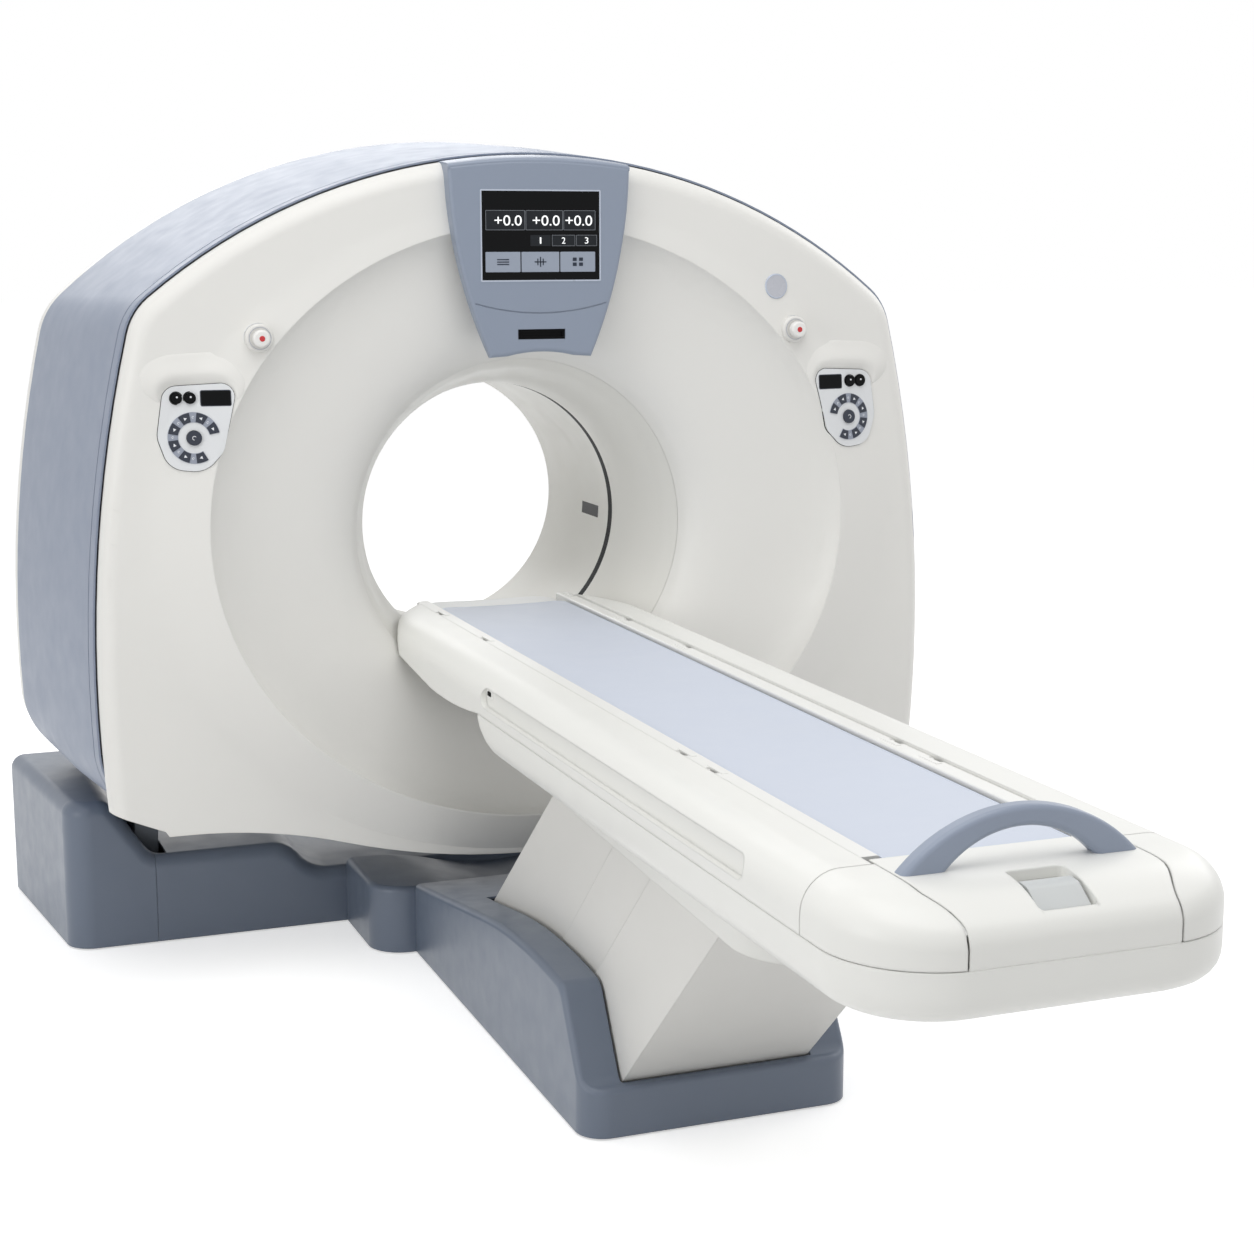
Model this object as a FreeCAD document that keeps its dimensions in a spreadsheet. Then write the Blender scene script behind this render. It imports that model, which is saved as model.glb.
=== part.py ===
import FreeCAD, Part
import math
import os
import Sketcher

# Computed tomography scanner: a tilting ring-shaped gantry on a floor base and a patient couch
# on a scissor-arm lift. Millimetres. The origin lies on the floor under the isocentre, X runs
# to the right seen from the couch, Y runs from the couch through the bore to the rear, Z is up.
# The scan plane is Y = 0.

V = FreeCAD.Vector
doc = FreeCAD.newDocument("ct_scanner")

SIZES = [
    # gantry
    ("iso_height", 1075), ("bore_radius", 350), ("wall", 5), ("seam_gap", 0.6),
    ("face_depth", 432), ("cover_joint_depth", 385), ("half_width", 1072), ("side_arc_radius", 3400),
    ("side_arc_height", 760), ("crown_height", 1990), ("crown_radius", 1453), ("shoulder_radius", 150),
    ("front_edge_radius", 44), ("cover_bottom", 240), ("cover_corner_radius", 60),
    ("band_proud", 8), ("band_side_flare", 104), ("band_top_flare", 64), ("band_rear", 395),
    ("band_bottom", 410), ("band_corner_radius", 200), ("band_groove_depth", 345),
    ("band_opening_half", 960), ("rear_face", 515), ("rear_edge_radius", 60),
    ("ridge_half_width", 815), ("ridge_half_height", 727), ("ridge_centre", 1108),
    ("ridge_top_depth", 434), ("ridge_bottom_depth", 502), ("swell_half_width", 965),
    ("swell_half_height", 800), ("funnel_seam_depth", 299), ("funnel_seam_radius", 424.7),
    ("window_half_length", 15), ("window_wall", 4), ("bore_rear", 480),
    ("lip_centre_bottom", 268), ("lip_arc_radius", 1750), ("lip_wing_height", 398),
    ("lip_notch", 935), ("lip_notch_rise", 13), ("pan_half_width", 865), ("pan_clear", 8),
    # base of the gantry
    ("base_front", 5), ("base_rear", 620), ("base_half_width", 1125), ("base_flare", 70),
    ("base_split", 900), ("base_end_height", 384), ("base_mid_height", 229), ("base_low_height", 150),
    ("base_edge_radius", 36), ("base_wall", 6), ("frame_clear", 12), ("frame_plate", 28),
    ("arm_inner", 880), ("arm_thickness", 60), ("trunnion_radius", 55), ("trunnion_clear", 0.3),
    ("step_half_width", 402), ("step_front", 321.4), ("step_height", 176), ("step_dish", 128),
    # rotor
    ("rotor_plate_front", 60), ("rotor_plate_thickness", 20), ("drum_inner_radius", 405),
    ("rotor_radius", 760), ("bearing_front", 90), ("bearing_length", 50), ("bearing_radius", 480),
    ("tilt_plate_front", 150), ("tilt_plate_thickness", 40), ("tilt_frame_half", 865),
    # console and switches on the front
    ("console_proud", 40), ("screen_half_width", 149), ("screen_bottom", "=iso_height + (crown_height - iso_height) * 0.6776"),
    ("screen_top", "=iso_height + (crown_height - iso_height) * 0.9082"),
    ("estop_reach", 680), ("estop_height", "=iso_height + (crown_height - iso_height) * 0.5388"),
    ("estop_radius", 20), ("panel_proud", 3), ("ring_reach", 838),
    ("ring_height", "=iso_height + (crown_height - iso_height) * 0.2929"), ("button_travel", 3),
    ("button_clear", 0.4),
    # couch floor base
    ("couch_base_half", 300), ("couch_base_front", 322), ("couch_base_rear", 1590), ("couch_base_wall", 5),
    ("couch_crest", 290), ("couch_rim", 108), ("shaft_half", 213),
    # lift
    ("link_length", 670), ("lift_angle", 43.3), ("front_pin_reach", 752), ("pin_spacing", 404),
    ("foot_pin_height", 190), ("pin_radius", 16), ("pin_clear", 0.15), ("link_half_height", 30),
    ("front_link_offset", 140), ("rear_link_offset", 100), ("link_thickness", 16),
    ("skin", 4), ("skin_gap", 0.4), ("skin_outer_half", 206.8),
    # couch top
    ("couch_half", 335), ("couch_foot", 2640), ("couch_extreme", 2875), ("couch_shoulder", 65),
    ("couch_top", 866), ("shell_seam", 768), ("band_lower_edge", 712), ("shell_wall", 4),
    ("channel_half", 215), ("trough_inner_half", 212), ("trough_outer_half", 226),
    ("table_foot", 2615), ("table_head", 40), ("table_half", 176), ("mat_top", 853),
    ("mat_thickness", 12), ("rail_top", 862), ("rail_outer", 213), ("table_bottom", 808),
    ("cap_half", 180), ("cap_foot", 2830), ("cap_bottom", 764),
]
for row, (alias, number) in enumerate(SIZES, 1):
    sheet_cell = "B%d" % row
    if row == 1:
        sheet = doc.addObject("Spreadsheet::Sheet", "Sizes")
    sheet.set("A%d" % row, alias)
    sheet.set(sheet_cell, str(number))
    sheet.setAlias(sheet_cell, alias)
doc.recompute()


class Size:
    """A length that knows both its number and the sheet formula it came from."""

    def __init__(self, number, text):
        self.number = float(number)
        self.text = text

    def __add__(self, other):
        other = as_size(other)
        return Size(self.number + other.number, "(%s + %s)" % (self.text, other.text))

    def __sub__(self, other):
        other = as_size(other)
        return Size(self.number - other.number, "(%s - %s)" % (self.text, other.text))

    def __mul__(self, other):
        other = as_size(other)
        return Size(self.number * other.number, "(%s * %s)" % (self.text, other.text))

    def __neg__(self):
        return Size(-self.number, "(0 - %s)" % self.text)

    def __radd__(self, other):
        return as_size(other) + self

    def __rsub__(self, other):
        return as_size(other) - self

    def __rmul__(self, other):
        return as_size(other) * self


def as_size(value):
    if isinstance(value, Size):
        return value
    return Size(value, "(%.6f)" % value)


class Sheet:
    """Gives each named size of the sheet as an attribute."""

    def __getattr__(self, alias):
        return Size(sheet.get(alias), "Sizes." + alias)


S = Sheet()


def num(value):
    return value.number if isinstance(value, Size) else float(value)


def bind(obj, prop, value):
    value = as_size(value)
    obj.setExpression(prop, value.text)


def place(obj, x=0, y=0, z=0):
    for letter, value in (("x", x), ("y", y), ("z", z)):
        if isinstance(value, Size) or value:
            bind(obj, "Placement.Base." + letter, value)


nodes = []
made = [0]


def fresh(kind, stem):
    made[0] += 1
    return doc.addObject(kind, "%s_%03d" % (stem, made[0]))


def node(name, obj):
    obj.Label = name
    nodes.append(obj)
    return obj


def box(x, y, z):
    """A block between two bounds on each axis, each bound a size or a number."""
    part = fresh("Part::Box", "block")
    bind(part, "Length", as_size(x[1]) - x[0])
    bind(part, "Width", as_size(y[1]) - y[0])
    bind(part, "Height", as_size(z[1]) - z[0])
    place(part, x[0], y[0], z[0])
    return part


TURN = {"X": FreeCAD.Rotation(V(0, 1, 0), 90), "Y": FreeCAD.Rotation(V(1, 0, 0), -90),
        "Z": FreeCAD.Rotation()}


def rod(axis, radius, length, x=0, y=0, z=0):
    """A cylinder that starts at the point given and runs along +X, +Y or +Z."""
    part = fresh("Part::Cylinder", "rod")
    part.Placement = FreeCAD.Placement(V(), TURN[axis])
    bind(part, "Radius", radius)
    bind(part, "Height", length)
    place(part, x, y, z)
    return part


def fuse(*parts):
    joined = fresh("Part::MultiFuse", "joined")
    joined.Shapes = list(parts)
    joined.Refine = True
    return joined


def cut(base, *tools):
    tool = tools[0] if len(tools) == 1 else fuse(*tools)
    result = fresh("Part::Cut", "cut")
    result.Base = base
    result.Tool = tool
    return result


def shape_part(shape):
    """Holds a shape made from the sheet's sizes with curves that no single feature gives."""
    part = fresh("Part::Feature", "form")
    part.Shape = shape
    return part


def origin_plane(body, role):
    return [f for f in body.Origin.OriginFeatures if f.Role == role][0]


def profile(body, plane, points):
    """A closed sketch through the points; every corner is held by sizes of the sheet."""
    sketch = body.newObject("Sketcher::SketchObject", body.Name + "_profile")
    sketch.AttachmentSupport = [(origin_plane(body, plane), "")]
    sketch.MapMode = "FlatFace"
    count = len(points)
    corners = [V(num(a), num(b), 0) for a, b in points]
    for i in range(count):
        sketch.addGeometry(Part.LineSegment(corners[i], corners[(i + 1) % count]), False)
    for i in range(count):
        sketch.addConstraint(Sketcher.Constraint("Coincident", i, 2, (i + 1) % count, 1))
    for i, (a, b) in enumerate(points):
        for kind, value in (("DistanceX", a), ("DistanceY", b)):
            if abs(num(value)) < 1e-9:
                axis = -2 if kind == "DistanceX" else -1
                sketch.addConstraint(Sketcher.Constraint("PointOnObject", i, 1, axis))
                continue
            number = sketch.addConstraint(Sketcher.Constraint(kind, -1, 1, i, 1, num(value)))
            if isinstance(value, Size):
                sketch.setExpression("Constraints[%d]" % number, value.text)
    return sketch


def new_body(name):
    body = fresh("PartDesign::Body", name)
    doc.recompute()
    return body


def turned(name, points, z=None):
    """A ring turned about the line through the isocentre: points are (depth, radius)."""
    body = new_body(name)
    sketch = profile(body, "YZ_Plane", points)
    feature = body.newObject("PartDesign::Revolution", name + "_turn")
    feature.Profile = sketch
    feature.ReferenceAxis = (sketch, ["H_Axis"])
    feature.Angle = 360
    bind(body, "Placement.Base.z", S.iso_height if z is None else z)
    return body


def slab(name, points, half, plane="YZ_Plane", offset=None):
    """A plate padded both ways from its sketch plane, or one way from an offset."""
    body = new_body(name)
    sketch = profile(body, plane, points)
    feature = body.newObject("PartDesign::Pad", name + "_pad")
    feature.Profile = sketch
    feature.Midplane = True
    bind(feature, "Length", as_size(half) * 2)
    if offset is not None:
        bind(body, "Placement.Base." + ("x" if plane == "YZ_Plane" else "y"), offset)
    return body


def n(alias):
    return sheet.get(alias)


ISO = n("iso_height")
WALL = n("wall")


def arc(start, middle, end):
    return Part.Arc(start, middle, end).toShape()


def shield(depth, side, crown, shoulder, corner, bottom):
    """The gantry's outline in the plane Y = depth: two long side arcs, a crown arc, rounded
    shoulders and rounded lower corners over a flat bottom. side and crown grow the arcs."""
    rs = n("side_arc_radius") + side
    cx = n("half_width") - n("side_arc_radius")
    cz = n("side_arc_height")
    rc = n("crown_radius") + crown
    kz = n("crown_height") - n("crown_radius")
    # shoulder circle inside both arcs
    a, b = rs - shoulder, rc - shoulder
    dx, dz = -cx, kz - cz
    dist = math.hypot(dx, dz)
    along = (a * a - b * b + dist * dist) / (2 * dist)
    off = math.sqrt(a * a - along * along)
    sx = cx + along * dx / dist - off * dz / dist
    sz = cz + along * dz / dist + off * dx / dist
    ang_side = math.atan2(sz - cz, sx - cx)
    ang_crown = math.atan2(sz - kz, sx)
    side_end = (cx + rs * math.cos(ang_side), cz + rs * math.sin(ang_side))
    crown_end = (rc * math.cos(ang_crown), kz + rc * math.sin(ang_crown))
    mid = (ang_side + ang_crown) / 2
    shoulder_mid = (sx + shoulder * math.cos(mid), sz + shoulder * math.sin(mid))
    # lower corner between the side arc and the flat bottom
    qz = bottom + corner
    qx = cx + math.sqrt((rs - corner) ** 2 - (qz - cz) ** 2)
    ang_low = math.atan2(qz - cz, qx - cx)
    low_end = (cx + rs * math.cos(ang_low), cz + rs * math.sin(ang_low))
    half = (ang_low - math.pi / 2) / 2
    low_mid = (qx + corner * math.cos(half), qz + corner * math.sin(half))
    up = (ang_low + ang_side) / 2
    side_mid = (cx + rs * math.cos(up), cz + rs * math.sin(up))

    def p(point, sign):
        return V(sign * point[0], depth, point[1])

    bottom_point = (qx, bottom)
    edges = [Part.makeLine(p(bottom_point, -1), p(bottom_point, 1)),
             arc(p(bottom_point, 1), p(low_mid, 1), p(low_end, 1)),
             arc(p(low_end, 1), p(side_mid, 1), p(side_end, 1)),
             arc(p(side_end, 1), p(shoulder_mid, 1), p(crown_end, 1)),
             arc(p(crown_end, 1), V(0, depth, kz + rc), p(crown_end, -1)),
             arc(p(crown_end, -1), p(shoulder_mid, -1), p(side_end, -1)),
             arc(p(side_end, -1), p(side_mid, -1), p(low_end, -1)),
             arc(p(low_end, -1), p(low_mid, -1), p(bottom_point, -1))]
    return Part.Wire(edges)


def shield_solid(sections):
    return Part.makeLoft([shield(*s) for s in sections], True, True)


def oval(half_x, half_z, top, bottom):
    """An ellipse whose plane tips about X: top and bottom are (depth, height)."""
    centre = V(0, (top[0] + bottom[0]) / 2, (top[1] + bottom[1]) / 2)
    up = V(0, top[0] - bottom[0], top[1] - bottom[1])
    reach = up.Length / 2
    up.normalize()
    normal = V(1, 0, 0).cross(up)
    if half_x >= reach:
        curve = Part.Ellipse(centre + V(half_x, 0, 0), centre + up * reach, centre)
    else:
        curve = Part.Ellipse(centre + up * reach, centre - V(half_x, 0, 0), centre)
    return Part.Wire([curve.toShape()])


def ring_wire(depth, radius):
    return Part.Wire([Part.Circle(V(0, depth, ISO), V(0, -1, 0), radius).toShape()])


RIDGE_TOP = n("ridge_centre") + n("ridge_half_height")
RIDGE_LOW = n("ridge_centre") - n("ridge_half_height")


def ridge_oval(shrink, back):
    return oval(n("ridge_half_width") - shrink, 0,
                (-n("ridge_top_depth") + back, RIDGE_TOP - shrink),
                (-n("ridge_bottom_depth") + back, RIDGE_LOW + shrink))


def swell_oval(shrink, back):
    mid = ISO + 6
    return oval(n("swell_half_width") - shrink, 0,
                (-n("face_depth") + back, mid + n("swell_half_height") - shrink),
                (-n("face_depth") + back, mid - n("swell_half_height") + shrink))


def lip_prism(rise, front, back, half=None):
    """Everything above the wave of the lower lip, raised by rise, between two depths."""
    low = n("lip_centre_bottom") + rise
    radius = n("lip_arc_radius") - rise
    wing = n("lip_wing_height") + rise
    reach = 500.0
    turn = math.asin(reach / radius)
    start = (reach, low + radius - radius * math.cos(turn))
    wing_x = n("lip_notch") - 55
    # reversed arc that brings the wave level at the wing
    bend = (wing_x - reach) / math.sin(turn)
    mid_x = (wing_x + reach) / 2
    slope_mid = math.asin((wing_x - mid_x) / bend)
    mid = (mid_x, wing - bend + bend * math.cos(slope_mid))
    start_z = wing - bend + bend * math.cos(turn)
    shift = start[1] - start_z
    notch = n("lip_notch")
    step = n("lip_notch_rise")
    edge_x = n("half_width") + 60
    edge_z = wing + step + 0.42 * (edge_x - notch)

    def p(x, z, sign):
        return V(sign * x, front, z)

    def half_edges(sign):
        return [arc(p(start[0], start[1], sign), p(mid[0], mid[1] + shift * 0.5, sign), p(wing_x, wing, sign)),
                Part.makeLine(p(wing_x, wing, sign), p(notch - 8, wing, sign)),
                Part.makeLine(p(notch - 8, wing, sign), p(notch, wing + step, sign)),
                Part.makeLine(p(notch, wing + step, sign), p(edge_x, edge_z, sign)),
                Part.makeLine(p(edge_x, edge_z, sign), p(edge_x, 2400, sign))]

    edges = [arc(p(start[0], start[1], -1), V(0, front, low), p(start[0], start[1], 1))]
    edges += half_edges(1) + [Part.makeLine(p(edge_x, 2400, 1), p(edge_x, 2400, -1))] + half_edges(-1)
    face = Part.Face(Part.Wire(Part.__sortEdges__(edges)))
    prism = face.extrude(V(0, back - front, 0))
    if half:
        prism = prism.common(Part.makeBox(2 * half, back - front, 2600, V(-half, front, 0)))
    return prism


def round_front(solid, depth, radius):
    edges = [e for e in solid.Edges if abs(e.BoundBox.YMin - depth) < 0.01
             and abs(e.BoundBox.YMax - depth) < 0.01]
    return solid.makeFillet(radius, edges)


def face_mass(inset):
    """The front cover's outer mass, or the space inside its wall when inset is the wall."""
    front = -n("face_depth") + inset
    back = -n("cover_joint_depth") + (20 if inset else 0)
    low = n("cover_bottom")
    args = (-inset, -inset, n("shoulder_radius") - inset, n("cover_corner_radius"), low)
    prism = Part.makeLoft([shield(front, *args), shield(back, *args)], True, True)
    prism = round_front(prism, front, n("front_edge_radius") - inset)
    swell = Part.makeLoft([swell_oval(inset * 1.6, inset), ridge_oval(inset * 0.4, inset)], True, True)
    body = prism.fuse(swell)
    return body.common(lip_prism(inset, -600, 200))


def trumpet(grow, start_shrink, end):
    """The funnel between the crease of the front and the seam ring, as a smooth loft."""
    rs = n("funnel_seam_radius")
    ds = n("funnel_seam_depth")
    wires = [ridge_oval(start_shrink, 0),
             ring_wire(-ds - 67 + grow * 0.5, rs + 75 + grow),
             ring_wire(-ds - 31 + grow * 0.5, rs + 20 + grow * 0.9),
             ring_wire(-ds + end, rs + grow)]
    return Part.makeLoft(wires, True, False)


def front_cover():
    shell = face_mass(0).cut(face_mass(WALL))
    wall = trumpet(WALL, 1.0, 0)
    hole = trumpet(0, 4.0, 0)
    cover = shell.fuse(wall).cut(hole)
    ahead = Part.makeLoft([ridge_oval(4.0, 0), ridge_oval(4.0, -80)], True, True)
    return cover.cut(ahead)


def side_band():
    proud = n("band_proud")
    joint = -n("cover_joint_depth") + n("seam_gap")
    rear = n("band_rear")
    side, top = n("band_side_flare"), n("band_top_flare")
    shoulder, corner, low = n("shoulder_radius"), n("band_corner_radius"), n("band_bottom")
    mid = (joint + rear) / 2

    def mass(inset, a, b):
        return shield_solid([
            (joint - a, proud - inset, proud - inset, shoulder + proud - inset, corner - inset, low + inset),
            (mid, proud + side * 0.56 - inset, proud + top * 0.5 - inset, shoulder + 30 - inset,
             corner - inset, low + inset),
            (rear + b, side - inset, top - inset, shoulder + 40 - inset, corner - inset, low + inset)])

    band = mass(0, 0, 0).cut(mass(WALL, 1, 1))
    groove = -n("band_groove_depth")
    ring = mass(-20, 5, 5).cut(mass(3, 5, 5)).common(
        Part.makeBox(3000, 5, 3000, V(-1500, groove - 2.5, 0)))
    half = n("band_opening_half")
    under = Part.makeBox(2 * half, 1400, 300, V(-half, -700, low - 100))
    return band.cut(ring).cut(under)


def rear_cover():
    side, top = n("band_side_flare"), n("band_top_flare")
    start = n("band_rear") + n("seam_gap")
    end = n("rear_face")
    shoulder, corner, low = n("shoulder_radius") + 40, n("band_corner_radius"), n("band_bottom")

    def mass(inset):
        args = (side - inset, top - inset, shoulder - inset, corner - inset, low + inset)
        a = start - (1 if inset else 0)
        solid = Part.makeLoft([shield(a, *args), shield(end - inset, *args)], True, True)
        edges = [e for e in solid.Edges if abs(e.BoundBox.YMin - end + inset) < 0.01
                 and abs(e.BoundBox.YMax - end + inset) < 0.01]
        return solid.makeFillet(n("rear_edge_radius") - inset, edges)

    skin = mass(0).cut(mass(WALL))
    hole = Part.makeCylinder(n("bore_radius") + n("window_wall") + n("seam_gap"), 300, V(0, start - 50, ISO), V(0, 1, 0))
    half = n("pan_half_width")
    front = -n("cover_joint_depth")
    clear = n("pan_clear")
    belly = lip_prism(clear, front, start + 6, half).cut(lip_prism(clear + WALL, front - 1, start + 7, half + 1))
    belly = belly.common(Part.makeBox(2 * half, 1200, 260, V(-half, front, 200)))
    below = lip_prism(clear, start - 10, end + 10, half + 50)
    low_lobe = below.common(Part.makeBox(2 * half, end - start - 40, 300, V(-half, start, 200)))
    low_lobe = low_lobe.cut(lip_prism(clear + WALL, start - 12, end + 12, half - WALL).common(
        Part.makeBox(2 * half - 2 * WALL, end - start - 40 - WALL, 400, V(-half + WALL, start, 150))))
    return skin.fuse([belly, low_lobe]).cut(hole)


def face_skin(shape, outer, inner):
    """The part of a prism that lies on the front cover between two offsets of its surface."""
    return shape.common(face_mass(-outer)).cut(face_mass(-inner))


def plate_prism(points, front=-520, back=-400):
    wire = Part.makePolygon([V(x, front, z) for x, z in points] + [V(points[0][0], front, points[0][1])])
    return Part.Face(wire).extrude(V(0, back - front, 0))


def peg(x, z, radius, front=-520, back=-400):
    return Part.makeCylinder(radius, back - front, V(x, front, z), V(0, 1, 0))


def around_bore(inner, outer, start, end, centre=None):
    centre = ISO if centre is None else centre
    solid = Part.makeCylinder(outer, end - start, V(0, start, centre), V(0, 1, 0))
    return solid.cut(Part.makeCylinder(inner, end - start + 2, V(0, start - 1, centre), V(0, 1, 0)))


def level(share):
    """A height on the front, as a share of the way from the bore's centre up to the crown."""
    return ISO + share * (n("crown_height") - ISO)


RING_X, RING_Z = n("ring_reach"), n("ring_height")
LIGHT_BUTTONS = [(RING_X + 5, RING_Z + 91), (RING_X + 36, RING_Z + 91)]
ESTOP = (n("estop_reach"), n("estop_height"))
BUTTON_R = 13.0
CENTRE_R = 17.0
FIT = n("button_clear")


def button_holes():
    holes = []
    for side in (-1, 1):
        for x, z in LIGHT_BUTTONS:
            holes.append(peg(side * x, z, BUTTON_R + FIT))
        holes.append(peg(side * RING_X, RING_Z, CENTRE_R + FIT))
        holes.append(peg(side * ESTOP[0], ESTOP[1], 9 + FIT))
    return holes


def control_panel(side):
    dx, dz = RING_X - 838, RING_Z - 1343
    points = [(734, 1468), (902, 1460), (920, 1345), (896, 1272), (816, 1264), (772, 1310)]
    prism = plate_prism([(side * (x + dx), z + dz) for x, z in points])
    uprights = [e for e in prism.Edges if e.BoundBox.YLength > 100]
    prism = prism.makeFillet(12, uprights)
    skin = face_skin(prism, n("panel_proud"), 0)
    return skin.cut(Part.Compound(button_holes()))


def keypad(side):
    """Four arc-shaped keys round the centre button and the small display window above."""
    ring = peg(side * RING_X, RING_Z, 56).cut(peg(side * RING_X, RING_Z, 30))
    bars = [Part.makeBox(140, 200, 5, V(-70, -520, -2.5)), Part.makeBox(5, 200, 140, V(-2.5, -520, -70))]
    for bar in bars:
        bar.rotate(V(0, 0, 0), V(0, 1, 0), 45)
        bar.translate(V(side * RING_X, 0, RING_Z))
    proud = n("panel_proud")
    keys = face_skin(ring.cut(Part.Compound(bars)), proud + 2.5, proud)
    window = plate_prism([(side * (RING_X - 84), RING_Z + 74), (side * (RING_X - 22), RING_Z + 74),
                          (side * (RING_X - 22), RING_Z + 106), (side * (RING_X - 84), RING_Z + 106)])
    return Part.Compound(keys.Solids + face_skin(window, proud + 1.5, proud).Solids)


def push_button(side, x, z, radius):
    head = peg(side * x, z, radius, -520, -n("face_depth") + WALL + 6)
    return head.common(face_mass(-n("panel_proud") - 5))


def estop_bezel(side):
    disc = peg(side * ESTOP[0], ESTOP[1], 33, -n("face_depth") - 26, -400)
    edges = [e for e in disc.Edges if abs(e.BoundBox.YMax + n("face_depth") + 26) < 0.01]
    disc = disc.makeChamfer(4, edges)
    return disc.cut(face_mass(0)).cut(peg(side * ESTOP[0], ESTOP[1], 9 + FIT))


def estop_button(side):
    front = -n("face_depth") - 52
    head = peg(side * ESTOP[0], ESTOP[1], n("estop_radius"), front, front + 19)
    edges = [e for e in head.Edges if abs(e.BoundBox.YMax - front) < 0.01]
    head = head.makeFillet(6, edges)
    stem = peg(side * ESTOP[0], ESTOP[1], 9, front + 19, -n("face_depth") + WALL + 6)
    return head.fuse(stem).removeSplitter()


def console_outline(grow):
    """Shield-shaped console: a crown, two long curving flanks and a shallow arched foot."""
    crown = n("crown_height") - 12 + grow
    top = (228 + grow, crown - 16)
    waist = (203 + grow, level(0.729))
    foot = (128 + grow, level(0.4776) - grow)
    edges = [Part.makeLine(V(-foot[0], 0, foot[1]), V(-84, 0, foot[1] + 3)),
             arc(V(-84, 0, foot[1] + 3), V(0, 0, foot[1] + 13), V(84, 0, foot[1] + 3)),
             Part.makeLine(V(84, 0, foot[1] + 3), V(foot[0], 0, foot[1])),
             arc(V(foot[0], 0, foot[1]), V(waist[0], 0, waist[1]), V(top[0], 0, top[1])),
             arc(V(top[0], 0, top[1]), V(0, 0, crown), V(-top[0], 0, top[1])),
             arc(V(-top[0], 0, top[1]), V(-waist[0], 0, waist[1]), V(-foot[0], 0, foot[1]))]
    return Part.Wire(edges)


def console_housing():
    front = -n("face_depth") - n("console_proud")
    wire = console_outline(0)
    wire.translate(V(0, front, 0))
    mass = Part.Face(wire).extrude(V(0, 86, 0))
    edges = [e for e in mass.Edges if e.BoundBox.YMax < front + 0.01]
    mass = mass.makeFillet(10, edges)
    mass = mass.cut(face_mass(0))
    half, low, high = n("screen_half_width"), n("screen_bottom"), n("screen_top")
    mass = mass.cut(Part.makeBox(2 * half, 8, high - low, V(-half, front, low)))
    mass = mass.cut(Part.makeBox(120, 12, 24, V(-60, front, level(0.5246))))
    smile = around_bore(598, 601, front, front + 2, level(0.5923) + 600)
    smile = smile.common(Part.makeBox(330, 10, 80, V(-165, front - 1, level(0.5738))))
    return mass.cut(smile)


def touch_screen():
    front = -n("face_depth") - n("console_proud")
    half, low, high = n("screen_half_width"), n("screen_bottom"), n("screen_top")
    gap = n("seam_gap")
    return Part.makeBox(2 * (half - gap), 7, high - low - 2 * gap, V(-half + gap, front + 1, low + gap))


def console_slot():
    front = -n("face_depth") - n("console_proud")
    tray = Part.makeBox(119, 8, 23, V(-59.5, front + 4, level(0.5246) + 0.5))
    return tray.cut(Part.makeBox(107, 4, 11, V(-53.5, front + 4, level(0.5246) + 6.5)))


def laser_window():
    bore = n("bore_radius")
    block = Part.makeBox(40, 130, 32, V(bore - 30, 92, ISO - 36))
    return around_bore(bore, bore + 1.5, 92, 222).common(block)


bore_fractions = [(1.0, 1.0), (0.813, 0.696), (0.669, 0.562), (0.502, 0.375), (0.334, 0.147),
                  (0.167, 0.027)]
flare = S.funnel_seam_radius - S.bore_radius
inner = []
for share, growth in bore_fractions:
    depth = -S.funnel_seam_depth * share
    if share == 1.0:
        depth = depth + S.seam_gap
    inner.append((depth, S.bore_radius + flare * growth))
inner.append((-S.window_half_length - S.seam_gap, S.bore_radius))
outer = [(depth, radius + S.wall) for depth, radius in reversed(inner)]
funnel_ring = node("funnel_ring", turned("funnel_ring", inner + outer))

scan_window = node("scan_window", turned("scan_window", [
    (-S.window_half_length, S.bore_radius), (S.window_half_length, S.bore_radius),
    (S.window_half_length, S.bore_radius + S.window_wall),
    (-S.window_half_length, S.bore_radius + S.window_wall)]))

liner = turned("liner", [
    (S.window_half_length + S.seam_gap, S.bore_radius), (S.rear_face - 1, S.bore_radius),
    (S.rear_face - 1, S.bore_radius + S.window_wall),
    (S.window_half_length + S.seam_gap, S.bore_radius + S.window_wall)])
window_shape = laser_window()
recess = shape_part(around_bore(n("bore_radius") - 2, n("bore_radius") + 1.5, 91.7, 222.3).common(
    Part.makeBox(40, 130.6, 32.6, V(n("bore_radius") - 30, 91.7, ISO - 36.3))))
bore_liner = node("bore_liner", cut(liner, recess))
laser = node("laser_window", shape_part(window_shape))

front = node("front_cover", shape_part(front_cover().cut(Part.Compound(button_holes()))))
band = node("side_band", shape_part(side_band()))
rear = node("rear_cover", shape_part(rear_cover()))
node("console_housing", shape_part(console_housing()))
node("touch_screen", shape_part(touch_screen()))
node("console_slot", shape_part(console_slot()))
node("round_plug", shape_part(face_skin(peg(ESTOP[0] - 44, level(0.6557), 30), 2.5, 0)))
node("estop_bezels", shape_part(Part.Compound([estop_bezel(-1), estop_bezel(1)])))
for word, side in (("left", -1), ("right", 1)):
    node("panel_" + word, shape_part(control_panel(side)))
    node("keypad_" + word, shape_part(keypad(side)))
    for number, (x, z) in enumerate(LIGHT_BUTTONS, 1):
        node("light_button_%s_%d" % (word, number), shape_part(push_button(side, x, z, BUTTON_R)))
    node("centre_button_" + word, shape_part(push_button(side, RING_X, RING_Z, CENTRE_R)))
    node("estop_button_" + word, shape_part(estop_button(side)))


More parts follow.
